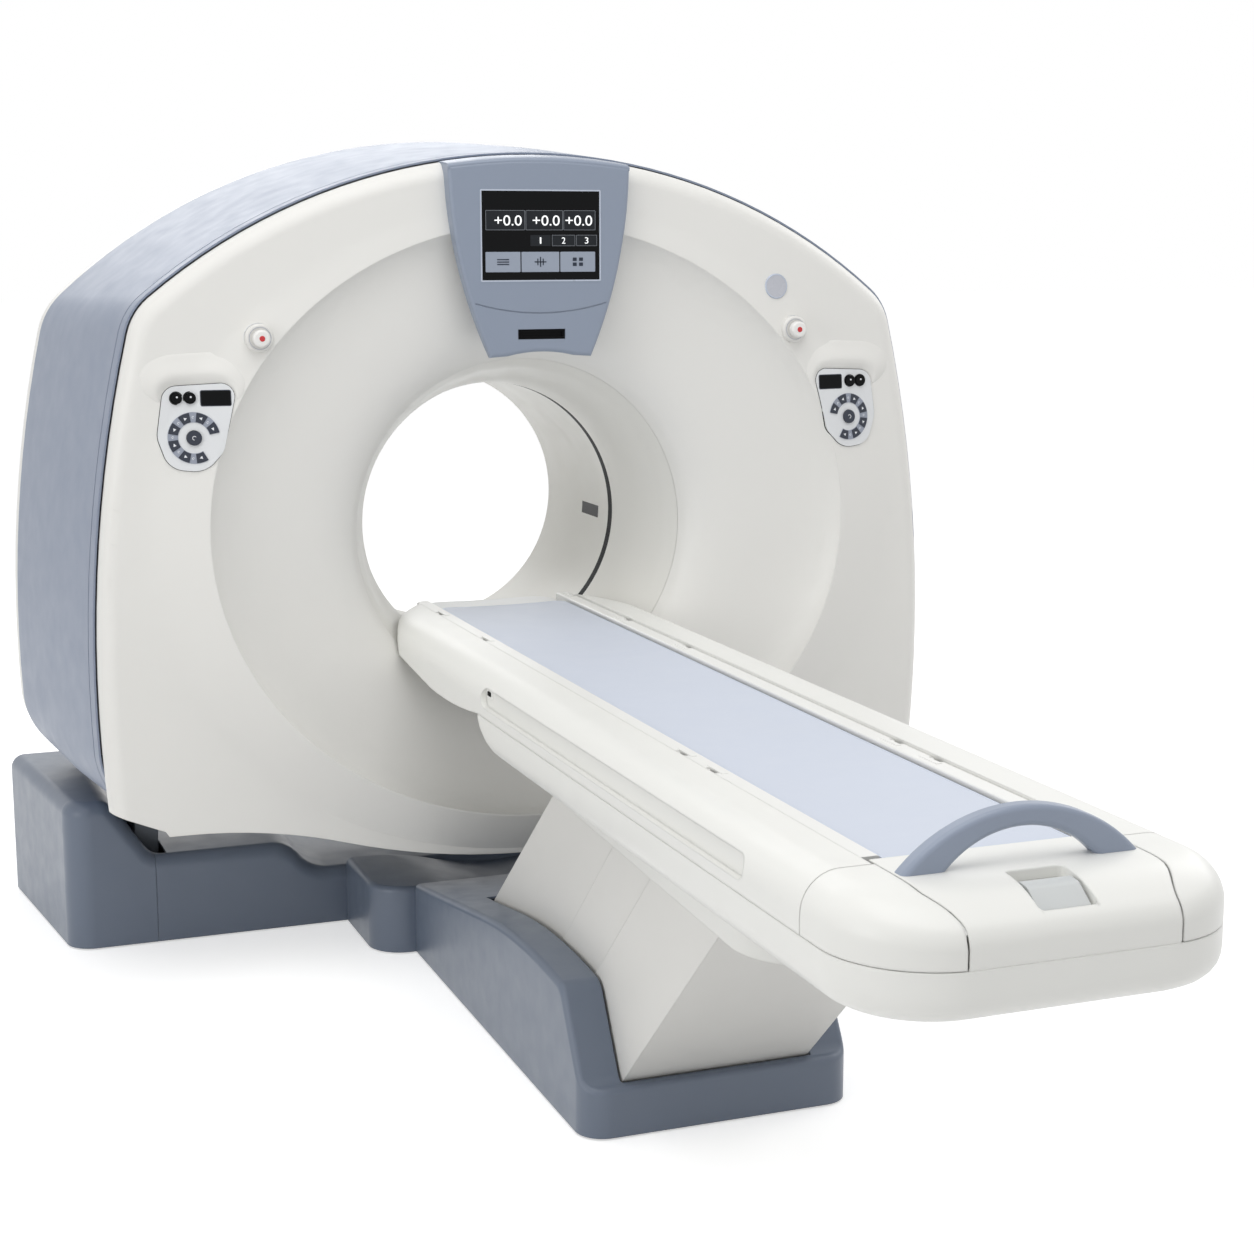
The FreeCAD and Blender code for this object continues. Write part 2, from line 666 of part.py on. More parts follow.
def s_bend(start, end, depth):
    """Two equal arcs that join two levels, level at both ends."""
    (x0, z0), (x1, z1) = start, end
    hx, hz = (x1 - x0) / 2, (z1 - z0) / 2
    mx, mz = x0 + hx, z0 + hz
    radius = (hx * hx + hz * hz) / (2 * abs(hz))
    sign = 1 if hz > 0 else -1
    turn = math.asin(abs(hx) / radius) / 2
    dirx = 1 if hx > 0 else -1
    q0 = (x0 + dirx * radius * math.sin(turn), z0 + sign * radius * (1 - math.cos(turn)))
    q1 = (x1 - dirx * radius * math.sin(turn), z1 - sign * radius * (1 - math.cos(turn)))
    return [arc(V(x0, depth, z0), V(q0[0], depth, q0[1]), V(mx, depth, mz)),
            arc(V(mx, depth, mz), V(q1[0], depth, q1[1]), V(x1, depth, z1))]


def ramp(start, end, depth, steep):
    """An arc, a straight slope of the given angle and an equal arc back to level."""
    (x0, z0), (x1, z1) = start, end
    dx, dz = abs(x1 - x0), abs(z1 - z0)
    turn = math.radians(steep)
    radius = (dz - dx * math.tan(turn)) / (2 * ((1 - math.cos(turn)) - math.sin(turn) * math.tan(turn)))
    dirx = 1 if x1 > x0 else -1
    dirz = 1 if z1 > z0 else -1

    def low(angle):
        return V(x0 + dirx * radius * math.sin(angle), depth, z0 + dirz * radius * (1 - math.cos(angle)))

    def high(angle):
        return V(x1 - dirx * radius * math.sin(angle), depth, z1 - dirz * radius * (1 - math.cos(angle)))

    return [arc(low(0), low(turn / 2), low(turn)), Part.makeLine(low(turn), high(turn)),
            arc(high(turn), high(turn / 2), high(0))]


def face_tilt(face):
    """The height part of a face's normal at its middle, zero on an upright wall."""
    u0, u1, v0, v1 = face.ParameterRange
    return face.normalAt((u0 + u1) / 2, (v0 + v1) / 2).z


def rim_edges(solid, wanted):
    """The edges where a wanted upright wall meets the top."""
    rim = []
    for edge in solid.Edges:
        sides = solid.ancestorsOfType(edge, Part.Face)
        if len(sides) != 2:
            continue
        tilts = [abs(face_tilt(face)) for face in sides]
        wall = sides[0] if tilts[0] < tilts[1] else sides[1]
        if min(tilts) < 0.01 and max(tilts) > 0.05 and edge.BoundBox.ZMin > 20 and wanted(wall):
            rim.append(edge)
    return rim


def base_mass(inset):
    """The gantry base: a low saddle under the bore that climbs to a pod at each end."""
    front = -n("base_front") + inset
    true_rear = n("base_rear") - inset
    rear = true_rear + 80
    low, mid, end = n("base_low_height") - inset, n("base_mid_height") - inset, n("base_end_height") - inset
    split = n("base_split")
    knots = [(0, low), (440, low), (600, mid), (split - 20, mid), (split + 140, end), (n("base_half_width") + 200, end)]
    edges = []
    for sign in (1, -1):
        p = [(sign * x, z) for x, z in knots]
        edges.append(Part.makeLine(V(0, front, low), V(p[1][0], front, low)))
        edges += s_bend(p[1], p[2], front)
        edges.append(Part.makeLine(V(p[2][0], front, mid), V(p[3][0], front, mid)))
        edges += ramp(p[3], p[4], front, 55)
        edges.append(Part.makeLine(V(p[4][0], front, end), V(p[5][0], front, end)))
        edges.append(Part.makeLine(V(p[5][0], front, end), V(p[5][0], front, 0)))
    edges.append(Part.makeLine(V(knots[5][0], front, 0), V(-knots[5][0], front, 0)))
    face = Part.Face(Part.Wire(Part.__sortEdges__(edges)))
    body = face.extrude(V(0, rear - front, 0))
    half, flare_out, corner = n("base_half_width") - inset, n("base_flare"), 70.0
    spread = flare_out * (rear - front - corner) / (true_rear - front - corner)
    plan = []
    for sign in (1, -1):
        plan.append(Part.makeLine(V(0, front, 0), V(sign * (half - corner), front, 0)))
        bulge = corner * (1 - math.sqrt(0.5))
        plan.append(arc(V(sign * (half - corner), front, 0), V(sign * (half - bulge), front + bulge, 0),
                        V(sign * half, front + corner, 0)))
        plan.append(Part.makeLine(V(sign * half, front + corner, 0), V(sign * (half + spread), rear, 0)))
        plan.append(Part.makeLine(V(sign * (half + spread), rear, 0), V(0, rear, 0)))
    walls = Part.Face(Part.Wire(Part.__sortEdges__(plan))).extrude(V(0, 0, 600))
    body = body.common(walls)
    rim = rim_edges(body, lambda face: face.BoundBox.YMin < rear - 1)
    body = body.makeFillet(n("base_edge_radius") - inset, rim)
    return body.common(Part.makeBox(4000, true_rear - front + 100, 600, V(-2000, front - 100, 0)))


def base_covers():
    wall = n("base_wall")
    outer = base_mass(0)
    inside = base_mass(wall)
    inside = inside.fuse(Part.makeBox(4000, 3000, 20, V(-2000, -1500, -20)))
    shell = outer.cut(inside)
    shell = shell.cut(Part.makeBox(4000, 2000, 4, V(-2000, -500, 0)))
    slots = [Part.makeBox(n("arm_thickness") + 24, 330, 400,
                          V(x, 30, 100)) for x in (n("arm_inner") - 12, -n("arm_inner") - n("arm_thickness") - 12)]
    shell = shell.cut(Part.Compound(slots))
    split, gap = n("base_split"), n("seam_gap")
    middle = shell.common(Part.makeBox(2 * split, 2000, 900, V(-split, -500, 0)))
    right = shell.common(Part.makeBox(900, 2000, 900, V(split + gap, -500, 0)))
    left = shell.common(Part.makeBox(900, 2000, 900, V(-split - gap - 900, -500, 0)))
    return middle, left, right


def step_cover():
    half, front, back = n("step_half_width"), -n("step_front"), -n("base_front") - n("seam_gap")
    high, dish, wall = n("step_height"), n("step_dish"), n("base_wall")

    def mass(inset, base):
        top = high - inset
        side = half - inset
        knee = half - 50
        profile_edges = [Part.makeLine(V(-side, 0, base), V(side, 0, base)),
                         Part.makeLine(V(side, 0, base), V(side, 0, top)),
                         Part.makeLine(V(side, 0, top), V(knee, 0, top))]
        profile_edges += s_bend((knee, top), (0, dish - inset), 0)
        profile_edges += s_bend((0, dish - inset), (-knee, top), 0)
        profile_edges += [Part.makeLine(V(-knee, 0, top), V(-side, 0, top)),
                          Part.makeLine(V(-side, 0, top), V(-side, 0, base))]
        face = Part.Face(Part.Wire(Part.__sortEdges__(profile_edges)))
        face.translate(V(0, front + inset, 0))
        solid = face.extrude(V(0, back - front - 2 * inset, 0))
        uprights = [e for e in solid.Edges if e.BoundBox.XLength < 0.1 and e.BoundBox.YLength < 0.1
                    and e.BoundBox.YMax < front + inset + 1]
        solid = solid.makeFillet(90 - inset, uprights)
        rim = rim_edges(solid, lambda face: face.BoundBox.YMin < back - inset - 1)
        return solid.makeFillet(16 - inset, rim)

    return mass(0, 4).cut(mass(wall, 0))


middle, left, right = base_covers()
node("gantry_base_cover", shape_part(middle))
node("base_end_cover_left", shape_part(left))
node("base_end_cover_right", shape_part(right))
node("base_step_cover", shape_part(step_cover()))

frame_top = S.frame_clear + S.frame_plate
base_plate = box((-S.base_half_width + 25, S.base_half_width - 25), (40, S.base_rear - 30), (S.frame_clear, frame_top))
anchors = [rod("Z", 9, 60, x, y, 0) for x in (S.base_half_width * -0.76, S.base_half_width * 0.76) for y in (80, 560)]
rib_front = box((-S.arm_inner + 40, S.arm_inner - 40), (60, 100), (frame_top, frame_top + 60))
rib_rear = box((-S.arm_inner + 40, S.arm_inner - 40), (500, 540), (frame_top, frame_top + 60))
node("gantry_base_frame", cut(fuse(base_plate, rib_front, rib_rear), *anchors))


def tilt_arm(word, sign):
    centre = (S.arm_inner + S.arm_thickness * 0.5) * sign
    leaf = slab("arm_" + word, [(120, frame_top), (320, frame_top), (300, frame_top + 90), (70, S.iso_height + 40),
                                (20, S.iso_height + 85), (-40, S.iso_height + 85), (-75, S.iso_height + 40),
                                (-75, S.iso_height - 60)], S.arm_thickness * 0.5, offset=centre)
    start = centre - S.arm_thickness * 0.5
    foot = box((start - 12, start + S.arm_thickness + 12), (60, 360), (frame_top, frame_top + 22))
    hole = rod("X", S.trunnion_radius + S.trunnion_clear, S.arm_thickness + 4, start - 2, 0, S.iso_height)
    return node("tilt_arm_" + word, cut(fuse(leaf, foot), hole))


tilt_arm("left", -1)
tilt_arm("right", 1)

# tilt drive: a gear motor on the floor plate behind the right arm
motor = fuse(box((700, 820), (380, 480), (frame_top, frame_top + 100)),
             rod("Y", 45, 90, 760, 290, frame_top + 52),
             rod("X", 22, 30, 820, 430, frame_top + 55))
node("tilt_gearmotor", motor)

# levelling feet under both floor frames
feet = [rod("Z", 34, S.frame_clear, x, y, 0) for x in (S.base_half_width * -0.9, S.base_half_width * 0.9)
        for y in (100, 520)]
feet += [rod("Z", 30, S.frame_clear, x, -y, 0) for x in (-240, 240) for y in
         (S.couch_base_front + 60, S.couch_base_rear - 80)]
# datum plate under the scan plane, and the block that carries it under the floor frame
feet.append(box((-60, 60), (-60, 60), (0, 3.4)))
feet.append(box((-60, 60), (8, 60), (0, S.frame_clear)))
node("levelling_feet", fuse(*feet))

# tilt frame: an annular plate, two cheek plates and the trunnions in the arms
plate_back = S.tilt_plate_front + S.tilt_plate_thickness
disc = cut(rod("Y", 785, S.tilt_plate_thickness, 0, S.tilt_plate_front, S.iso_height),
           rod("Y", 430, S.tilt_plate_thickness + 2, 0, S.tilt_plate_front - 1, S.iso_height))
cheeks = []
for sign in (-1, 1):
    inner_x = S.tilt_frame_half - 70
    low_x = inner_x if sign > 0 else -S.tilt_frame_half
    cheeks.append(box((low_x, low_x + 70), (-60, plate_back), (S.iso_height - 175, S.iso_height + 175)))
    web_x = S.tilt_frame_half - 165 if sign > 0 else -S.tilt_frame_half
    cheeks.append(box((web_x, web_x + 165), (S.tilt_plate_front, plate_back), (S.iso_height - 175, S.iso_height + 175)))
    reach = S.arm_inner + S.arm_thickness - S.tilt_frame_half
    start_x = S.tilt_frame_half if sign > 0 else -(S.tilt_frame_half + reach)
    cheeks.append(rod("X", S.trunnion_radius, reach, start_x, 0, S.iso_height))
    cheeks.append(box((sign * 640 - 30, sign * 640 + 30), (plate_back, S.rear_face - S.wall - 0.2),
                      (S.iso_height - 400, S.iso_height - 340)))
    cheeks.append(box((sign * 640 - 30, sign * 640 + 30), (plate_back, S.rear_face - S.wall - 0.2),
                      (S.iso_height + 340, S.iso_height + 400)))
node("tilt_frame", fuse(disc, *cheeks))

bearing_gap = 0.5
hub = S.drum_inner_radius + 20
node("main_bearing", turned("bearing", [
    (S.bearing_front, hub + bearing_gap), (S.bearing_front + S.bearing_length + 10, hub + bearing_gap),
    (S.bearing_front + S.bearing_length + 10, S.bearing_radius + 20), (S.bearing_front, S.bearing_radius + 20)]))

plate_end = S.rotor_plate_front + S.rotor_plate_thickness
node("rotor_drum", turned("drum", [
    (S.rotor_plate_front - 60, S.drum_inner_radius), (plate_end + 64, S.drum_inner_radius),
    (plate_end + 64, hub), (plate_end, hub), (plate_end, S.rotor_radius - 2),
    (S.rotor_plate_front, S.rotor_radius - 2), (S.rotor_plate_front, S.drum_inner_radius + 14),
    (S.rotor_plate_front - 60, S.drum_inner_radius + 14)]))
tube_z = S.iso_height + 600
tube = fuse(rod("Y", 105, 170, 0, S.rotor_plate_front - 170, tube_z),
            box((-90, 90), (S.rotor_plate_front - 120, S.rotor_plate_front), (tube_z - 150, tube_z - 60)),
            rod("Y", 60, 30, 0, S.rotor_plate_front - 200, tube_z))
node("xray_tube", tube)


def detector_shape():
    start = n("rotor_plate_front")
    ring = around_bore(600, 690, start - 120, start)
    wedge = Part.makePolygon([V(0, start - 120, ISO), V(-700, start - 120, ISO - 1040),
                              V(700, start - 120, ISO - 1040), V(0, start - 120, ISO)])
    return ring.common(Part.Face(wedge).extrude(V(0, 120, 0)))


node("detector", shape_part(detector_shape()))
node("generator", fuse(box((470, 640), (S.rotor_plate_front - 150, S.rotor_plate_front), (ISO - 150, ISO + 150)),
                       box((-640, -500), (S.rotor_plate_front - 110, S.rotor_plate_front), (ISO - 120, ISO + 120))))


class Pen:
    """Draws tangent lines and arcs in the plane X = 0, travelling towards the foot end."""

    def __init__(self, depth, height, heading):
        self.at = V(0, depth, height)
        self.heading = math.radians(heading)
        self.edges = []

    def line(self, length):
        end = self.at + V(0, -math.cos(self.heading), math.sin(self.heading)) * length
        self.edges.append(Part.makeLine(self.at, end))
        self.at = end

    def bend(self, radius, turn):
        """Turns by an angle in degrees, upwards when positive."""
        sign = 1 if turn > 0 else -1
        turn = math.radians(turn)
        centre = self.at + V(0, math.sin(self.heading), math.cos(self.heading)) * (radius * sign)

        def point(angle):
            heading = self.heading + angle
            return centre - V(0, math.sin(heading), math.cos(heading)) * (radius * sign)

        self.edges.append(arc(self.at, point(turn / 2), point(turn)))
        self.at = point(turn)
        self.heading += turn


def crest_line(inset):
    """Side view of the couch base: it climbs from the step to a crest and falls to the foot."""
    climb, fall, steep = 8.85, 5.1, 58.0
    front, rim = -n("couch_base_front"), n("couch_rim") - inset
    pen = Pen(front, n("couch_crest") - 108 - inset, climb)
    pen.line(578 / math.cos(pen.heading))
    pen.bend(2145 - inset, -climb - fall)
    pen.bend(50 - inset, fall - steep)
    foot = 35 + inset
    pen.line((pen.at.z - foot * (1 - math.cos(math.radians(steep))) - rim) / math.sin(math.radians(steep)))
    pen.bend(foot, steep)
    pen.line(pen.at.y + n("couch_base_rear") - inset)
    start = V(0, front - inset, pen.edges[0].Vertexes[0].Z)
    pen.edges[0] = Part.makeLine(start, pen.edges[0].Vertexes[1].Point)
    return pen.edges, start, pen.at


def couch_base_mass(inset, floor):
    half = n("couch_base_half") - inset
    front, rear = -n("couch_base_front") - inset, -n("couch_base_rear") + inset
    curve, start, end = crest_line(inset)
    edges = curve + [Part.makeLine(end, V(0, end.y, floor)),
             Part.makeLine(V(0, end.y, floor), V(0, start.y, floor)), Part.makeLine(V(0, start.y, floor), start)]
    face = Part.Face(Part.Wire(Part.__sortEdges__(edges)))
    face.translate(V(-half, 0, 0))
    solid = face.extrude(V(2 * half, 0, 0))
    radius = 60 - inset
    uprights = [e for e in solid.Edges if e.BoundBox.XLength < 0.1 and e.BoundBox.YLength < 0.1
                and e.BoundBox.YMin < rear + 1]
    solid = solid.makeFillet(radius, uprights)
    rim = rim_edges(solid, lambda wall: wall.BoundBox.YMin < front - 5)
    return solid.makeFillet(14 - inset, rim)


def couch_base_cover():
    wall = n("couch_base_wall")
    shell = couch_base_mass(0, 4).cut(couch_base_mass(wall, 0))
    half = n("shaft_half")
    mouth = Part.makeBox(2 * half, 918, 600, V(-half, -1566, 90))
    corners = [e for e in mouth.Edges if e.BoundBox.ZLength > 500]
    mouth = mouth.makeFillet(5, corners)
    return shell.cut(mouth)


node("couch_base_cover", shape_part(couch_base_cover()))

pin_a, pin_c = S.front_pin_reach, S.front_pin_reach + S.pin_spacing * 2
pin_b = S.front_pin_reach + S.pin_spacing
floor_top = S.frame_clear + S.frame_plate * 0.75
fit_r = S.pin_radius + S.pin_clear
couch_frame_parts = [box((-270, 270), (-S.couch_base_rear + 26, -S.couch_base_front - 26), (S.frame_clear, floor_top))]
pin_holes = []
side_room = S.couch_base_half - S.couch_base_wall
for sign in (-1, 1):
    for y in (-480, -980, -1440):
        start_x = side_room - 40 if sign > 0 else -side_room
        couch_frame_parts.append(box((start_x, start_x + 40), (y - 20, y + 20), (S.frame_clear + 2, floor_top)))


def floor_lug(reach, offset, thick, back, ahead):
    """An upright lug on each side with an eye for a foot pin."""
    for sign in (-1, 1):
        x0 = offset * sign - thick * 0.5
        couch_frame_parts.append(box((x0, x0 + thick), (-reach - back, -reach + ahead),
                                     (floor_top, S.foot_pin_height - 10)))
        couch_frame_parts.append(rod("X", S.pin_radius + 14, thick, x0, -reach, S.foot_pin_height))
        pin_holes.append(rod("X", fit_r, thick + 2, x0 - 1, -reach, S.foot_pin_height))


front_lug_x = S.front_link_offset - S.link_thickness - 2
rear_lug_x = S.rear_link_offset - S.link_thickness - 2
floor_lug(pin_a, front_lug_x, 16, 30, 90)
floor_lug(pin_b, S.skin_outer_half + 0.9, 8, 26, 26)

# the rear lugs reach in from the gantry side, clear of the cover that folds down past the pin
for sign in (-1, 1):
    lug_line = [(62, 0), (150, 0), (130, 142), (20, 182), (0, 150), (62, 120)]
    lug_points = [(-pin_c + a, floor_top + b) for a, b in lug_line]
    couch_frame_parts.append(slab("rear_lug", lug_points, 8, offset=rear_lug_x * sign))
    couch_frame_parts.append(rod("X", S.pin_radius + 14, 16, rear_lug_x * sign - 8, -pin_c, S.foot_pin_height))
    pin_holes.append(rod("X", fit_r, 18, rear_lug_x * sign - 9, -pin_c, S.foot_pin_height))
couch_anchor = [rod("Z", 8, 60, x, y, 0) for x in (-180, 180) for y in (-S.couch_base_front - 90, -S.couch_base_rear + 130)]
lift_drive = [rod("Y", 34, 300, 0, -pin_b - 60, floor_top + 40),
              box((-40, 40), (-pin_b - 60, -pin_b + 240), (floor_top, floor_top + 20))]
node("couch_base_frame", cut(fuse(*(couch_frame_parts + lift_drive)), *(pin_holes + couch_anchor)))

link_turn = 180 - S.lift_angle


def set_link(obj, reach):
    """Swings a link made along +Y from its foot pin up to the lift angle."""
    obj.Placement = FreeCAD.Placement(V(), FreeCAD.Rotation(V(1, 0, 0), num(link_turn)))
    bind(obj, "Placement.Rotation.Angle", link_turn)
    place(obj, 0, -reach, S.foot_pin_height)
    return obj


def link_arm(name, offset, reach):
    parts = []
    for sign in (-1, 1):
        start = offset * sign - S.link_thickness * 0.5
        parts.append(slab(name + "_leaf", [(0, -S.link_half_height), (S.link_length, -S.link_half_height),
                                           (S.link_length, S.link_half_height), (0, S.link_half_height)],
                          S.link_thickness * 0.5, offset=offset * sign))
        for along in (as_size(0), S.link_length):
            parts.append(rod("X", S.link_half_height, S.link_thickness, start, along, 0))
    half = offset + S.link_thickness * 0.5
    for along in (as_size(0), S.link_length):
        parts.append(rod("X", S.pin_radius, half * 2, -half, along, 0))
    parts.append(rod("X", 24, half * 2 - S.link_thickness, -half + S.link_thickness * 0.5, S.link_length * 0.42, 0))
    parts.append(rod("X", 24, half * 2 - S.link_thickness, -half + S.link_thickness * 0.5, S.link_length * 0.72, 0))
    return parts


def skin_sides(name, layer, points):
    """The two side plates of one telescoping cover."""
    plates = []
    gap = (S.skin + S.skin_gap) * layer
    outer_x = S.skin_outer_half - gap
    for sign in (-1, 1):
        plates.append(slab(name + "_side", points, S.skin * 0.5, offset=(outer_x - S.skin * 0.5) * sign))
    return plates, outer_x


# front link with the cover that faces the gantry
front_arm = node("front_arm", set_link(fuse(*link_arm("front", S.front_link_offset, pin_a)), pin_a))
a_points = [(-52, -88), (599, -48), (907, 270), (383, 270)]
a_sides, a_outer = skin_sides("cover_a", 2, a_points)
a_face = slab("cover_a_face", [(-52, -88), (599, -48), (599, -48 + S.skin), (-52, -88 + S.skin)], a_outer)
a_seats = [box((S.front_link_offset * sign - 8, S.front_link_offset * sign + 8), (y, y + 60),
               (-70, -S.link_half_height)) for sign in (-1, 1) for y in (120, 420)]
node("column_cover_gantry", set_link(fuse(*(a_sides + [a_face] + a_seats)), pin_a))

# rear link with the cover that faces the foot end
rear_arm = node("rear_arm", set_link(fuse(*link_arm("rear", S.rear_link_offset, pin_c)), pin_c))
c_points = [(-72, 58), (645, 58), (417, -181), (-92, -181), (-110, -60)]
c_sides, c_outer = skin_sides("cover_c", 0, c_points)
c_face = slab("cover_c_face", [(-72, 58), (645, 58), (645, 58 - S.skin), (-72, 58 - S.skin)], c_outer)
c_seats = [box((S.rear_link_offset * sign - 8, S.rear_link_offset * sign + 8), (y, y + 60),
               (S.link_half_height, 56)) for sign in (-1, 1) for y in (120, 420)]
node("column_cover_foot", set_link(fuse(*(c_sides + [c_face] + c_seats)), pin_c))

# middle cover plates on their own pins
b_points = [(-40, -57), (561, -57), (735, 143), (40, 143), (-60, 60)]
for word, sign in (("left", -1), ("right", 1)):
    gap = S.skin + S.skin_gap
    outer_x = S.skin_outer_half - gap
    plate = slab("cover_b_" + word, b_points, S.skin * 0.5, offset=(outer_x - S.skin * 0.5) * sign)
    stub_x = outer_x - S.skin + 0.5 if sign > 0 else -(outer_x - S.skin + 0.5) - 12.5
    stub = rod("X", S.pin_radius, 12.5, stub_x, 0, 0)
    node("column_cover_middle_" + word, set_link(fuse(plate, stub), pin_b))

LIFT = math.radians(n("lift_angle"))
LINK_RUN = n("link_length") * math.cos(LIFT)
TOP_PIN_Z = n("foot_pin_height") + n("link_length") * math.sin(LIFT)

HALF = n("couch_half")
TOP = n("couch_top")
FOOT = -n("couch_foot")
CHANNEL = n("channel_half")
SHELL = n("shell_wall")
GAP = n("seam_gap")


def extrude_x(points, half):
    wire = Part.makePolygon([V(-half, y, z) for y, z in points] + [V(-half, points[0][0], points[0][1])])
    return Part.Face(wire).extrude(V(2 * half, 0, 0))


def extrude_wire(edges, direction):
    return Part.Face(Part.Wire(Part.__sortEdges__(edges))).extrude(direction)


def nose_plan(inset):
    """Plan of the couch sides: straight flanks that curve in to a blunt nose in the funnel."""
    half = HALF - inset
    foot = FOOT + (-1 if inset else 0)
    sweep, corner, turn, knee = 494.0 - inset, 80.0 - inset, math.radians(36), -350.0
    centre = (half - sweep, knee)

    def on_sweep(angle):
        return centre[0] + sweep * math.cos(angle), centre[1] + sweep * math.sin(angle)

    joint = on_sweep(turn)
    tip = (joint[0] - corner * math.cos(turn), joint[1] - corner * math.sin(turn))

    def on_corner(angle):
        return tip[0] + corner * math.cos(angle), tip[1] + corner * math.sin(angle)

    edges = [Part.makeLine(V(half, foot, 0), V(-half, foot, 0))]
    for sign in (-1, 1):
        edges.append(Part.makeLine(V(sign * half, knee, 0), V(sign * half, foot, 0)))
        for point, start, end in ((on_sweep, 0, turn), (on_corner, turn, math.pi / 2)):
            marks = [point(start), point((start + end) / 2), point(end)]
            edges.append(arc(*[V(sign * x, y, 0) for x, y in marks]))
    end = on_corner(math.pi / 2)
    edges.append(Part.makeLine(V(-end[0], end[1], 0), V(end[0], end[1], 0)))
    prism = extrude_wire(edges, V(0, 0, 400))
    prism.translate(V(0, 0, 600))
    return prism


def nose_side(inset):
    """Side view: level top, level seam at the foot and an underside that rises to the nose."""
    seam = n("shell_seam")
    top = TOP - inset
    low = inset
    foot = FOOT - 10
    edges = [Part.makeLine(V(0, foot, top), V(0, 0, top)), Part.makeLine(V(0, 0, top), V(0, 0, seam + 50 + low)),
             arc(V(0, 0, seam + 50 + low), V(0, -330, seam + 14 + low), V(0, -620, seam - 16 + low)),
             arc(V(0, -620, seam - 16 + low), V(0, -830, seam - 15 + low), V(0, -1000, seam + GAP + low * 0)),
             Part.makeLine(V(0, -1000, seam + GAP), V(0, foot, seam + GAP)),
             Part.makeLine(V(0, foot, seam + GAP), V(0, foot, top))]
    prism = extrude_wire(edges, V(1000, 0, 0))
    prism.translate(V(-500, 0, 0))
    return prism


def funnel_room(clear):
    """The space inside the funnel less a clearance, joined to everything ahead of it."""
    share = [(1.224, 2.008), (1.104, 1.272), (1.0, 1.0), (0.813, 0.696), (0.669, 0.562), (0.502, 0.375), (0.334, 0.147), (0.0, 0.0)]
    depth, grow, bore = n("funnel_seam_depth"), n("funnel_seam_radius") - n("bore_radius"), n("bore_radius")
    points = [V(0, -depth * a, bore + grow * b - clear) for a, b in share]
    points += [V(0, 300, bore - clear), V(0, 300, 0), V(0, -depth * 1.224, 0)]
    room = Part.Face(Part.makePolygon(points + [points[0]])).revolve(V(), V(0, 1, 0), 360)
    room.translate(V(0, 0, ISO))
    return room.fuse(Part.makeBox(1200, 3000, 800, V(-600, -depth * 1.22 - 3000, 500)))


def couch_mass(inset):
    mass = nose_plan(inset).common(nose_side(inset))
    rim = rim_edges(mass, lambda wall: wall.BoundBox.YMax > FOOT + 40)
    mass = mass.makeFillet(n("couch_shoulder") - inset, [e for e in rim if e.BoundBox.ZMin > TOP - inset - 1])
    return mass.common(funnel_room(14 + inset))


def stadium(y0, y1, z0, z1, x0, x1):
    radius = (z1 - z0) / 2
    mid = (z0 + z1) / 2
    edges = [Part.makeLine(V(x0, y0 + radius, z0), V(x0, y1 - radius, z0)),
             arc(V(x0, y1 - radius, z0), V(x0, y1, mid), V(x0, y1 - radius, z1)),
             Part.makeLine(V(x0, y1 - radius, z1), V(x0, y0 + radius, z1)),
             arc(V(x0, y0 + radius, z1), V(x0, y0, mid), V(x0, y0 + radius, z0))]
    return extrude_wire(edges, V(x1 - x0, 0, 0))


def couch_shell():
    outer = couch_mass(0)
    inner = couch_mass(SHELL)
    slot = Part.makeBox(2 * CHANNEL, 3200, 500, V(-CHANNEL, -3000, 500))
    inner_slot = Part.makeBox(2 * (CHANNEL + SHELL), 3200, TOP - 41 - 500, V(-CHANNEL - SHELL, -3000, 500))
    tub = inner.cut(Part.makeBox(2 * (CHANNEL + SHELL), 3200, 500, V(-CHANNEL - SHELL, -3000, TOP - 41)))
    shell = outer.cut(tub).cut(slot)
    low_cut = Part.makeBox(2 * (CHANNEL + SHELL), 3000 - 420, TOP - 41 - 500, V(-CHANNEL - SHELL, -3000, 500))
    shell = shell.cut(low_cut)
    for sign in (-1, 1):
        edge = sign * HALF
        deep = sign * (HALF - 14)
        back = sign * (HALF - 18)
        backing = stadium(-2434, -1021, 786, 836, min(back, edge), max(back, edge)).common(outer)
        pocket = stadium(-2430, -1025, 790, 832, min(deep, edge + sign * 5), max(deep, edge + sign * 5))
        shell = shell.fuse(backing).cut(pocket)
    return shell


def under_section(inset):
    edge, low = n("band_lower_edge") + inset, n("band_lower_edge") - 36 + inset
    half = HALF - 1 - inset
    seam = n("shell_seam") + (20 if inset else 0)
    return [(-half, edge), (-240, low), (240, low), (half, edge), (half, seam), (-half, seam)]


def extrude_y(points, start, end):
    wire = Part.makePolygon([V(x, start, z) for x, z in points] + [V(points[0][0], start, points[0][1])])
    return Part.Face(wire).extrude(V(0, end - start, 0))


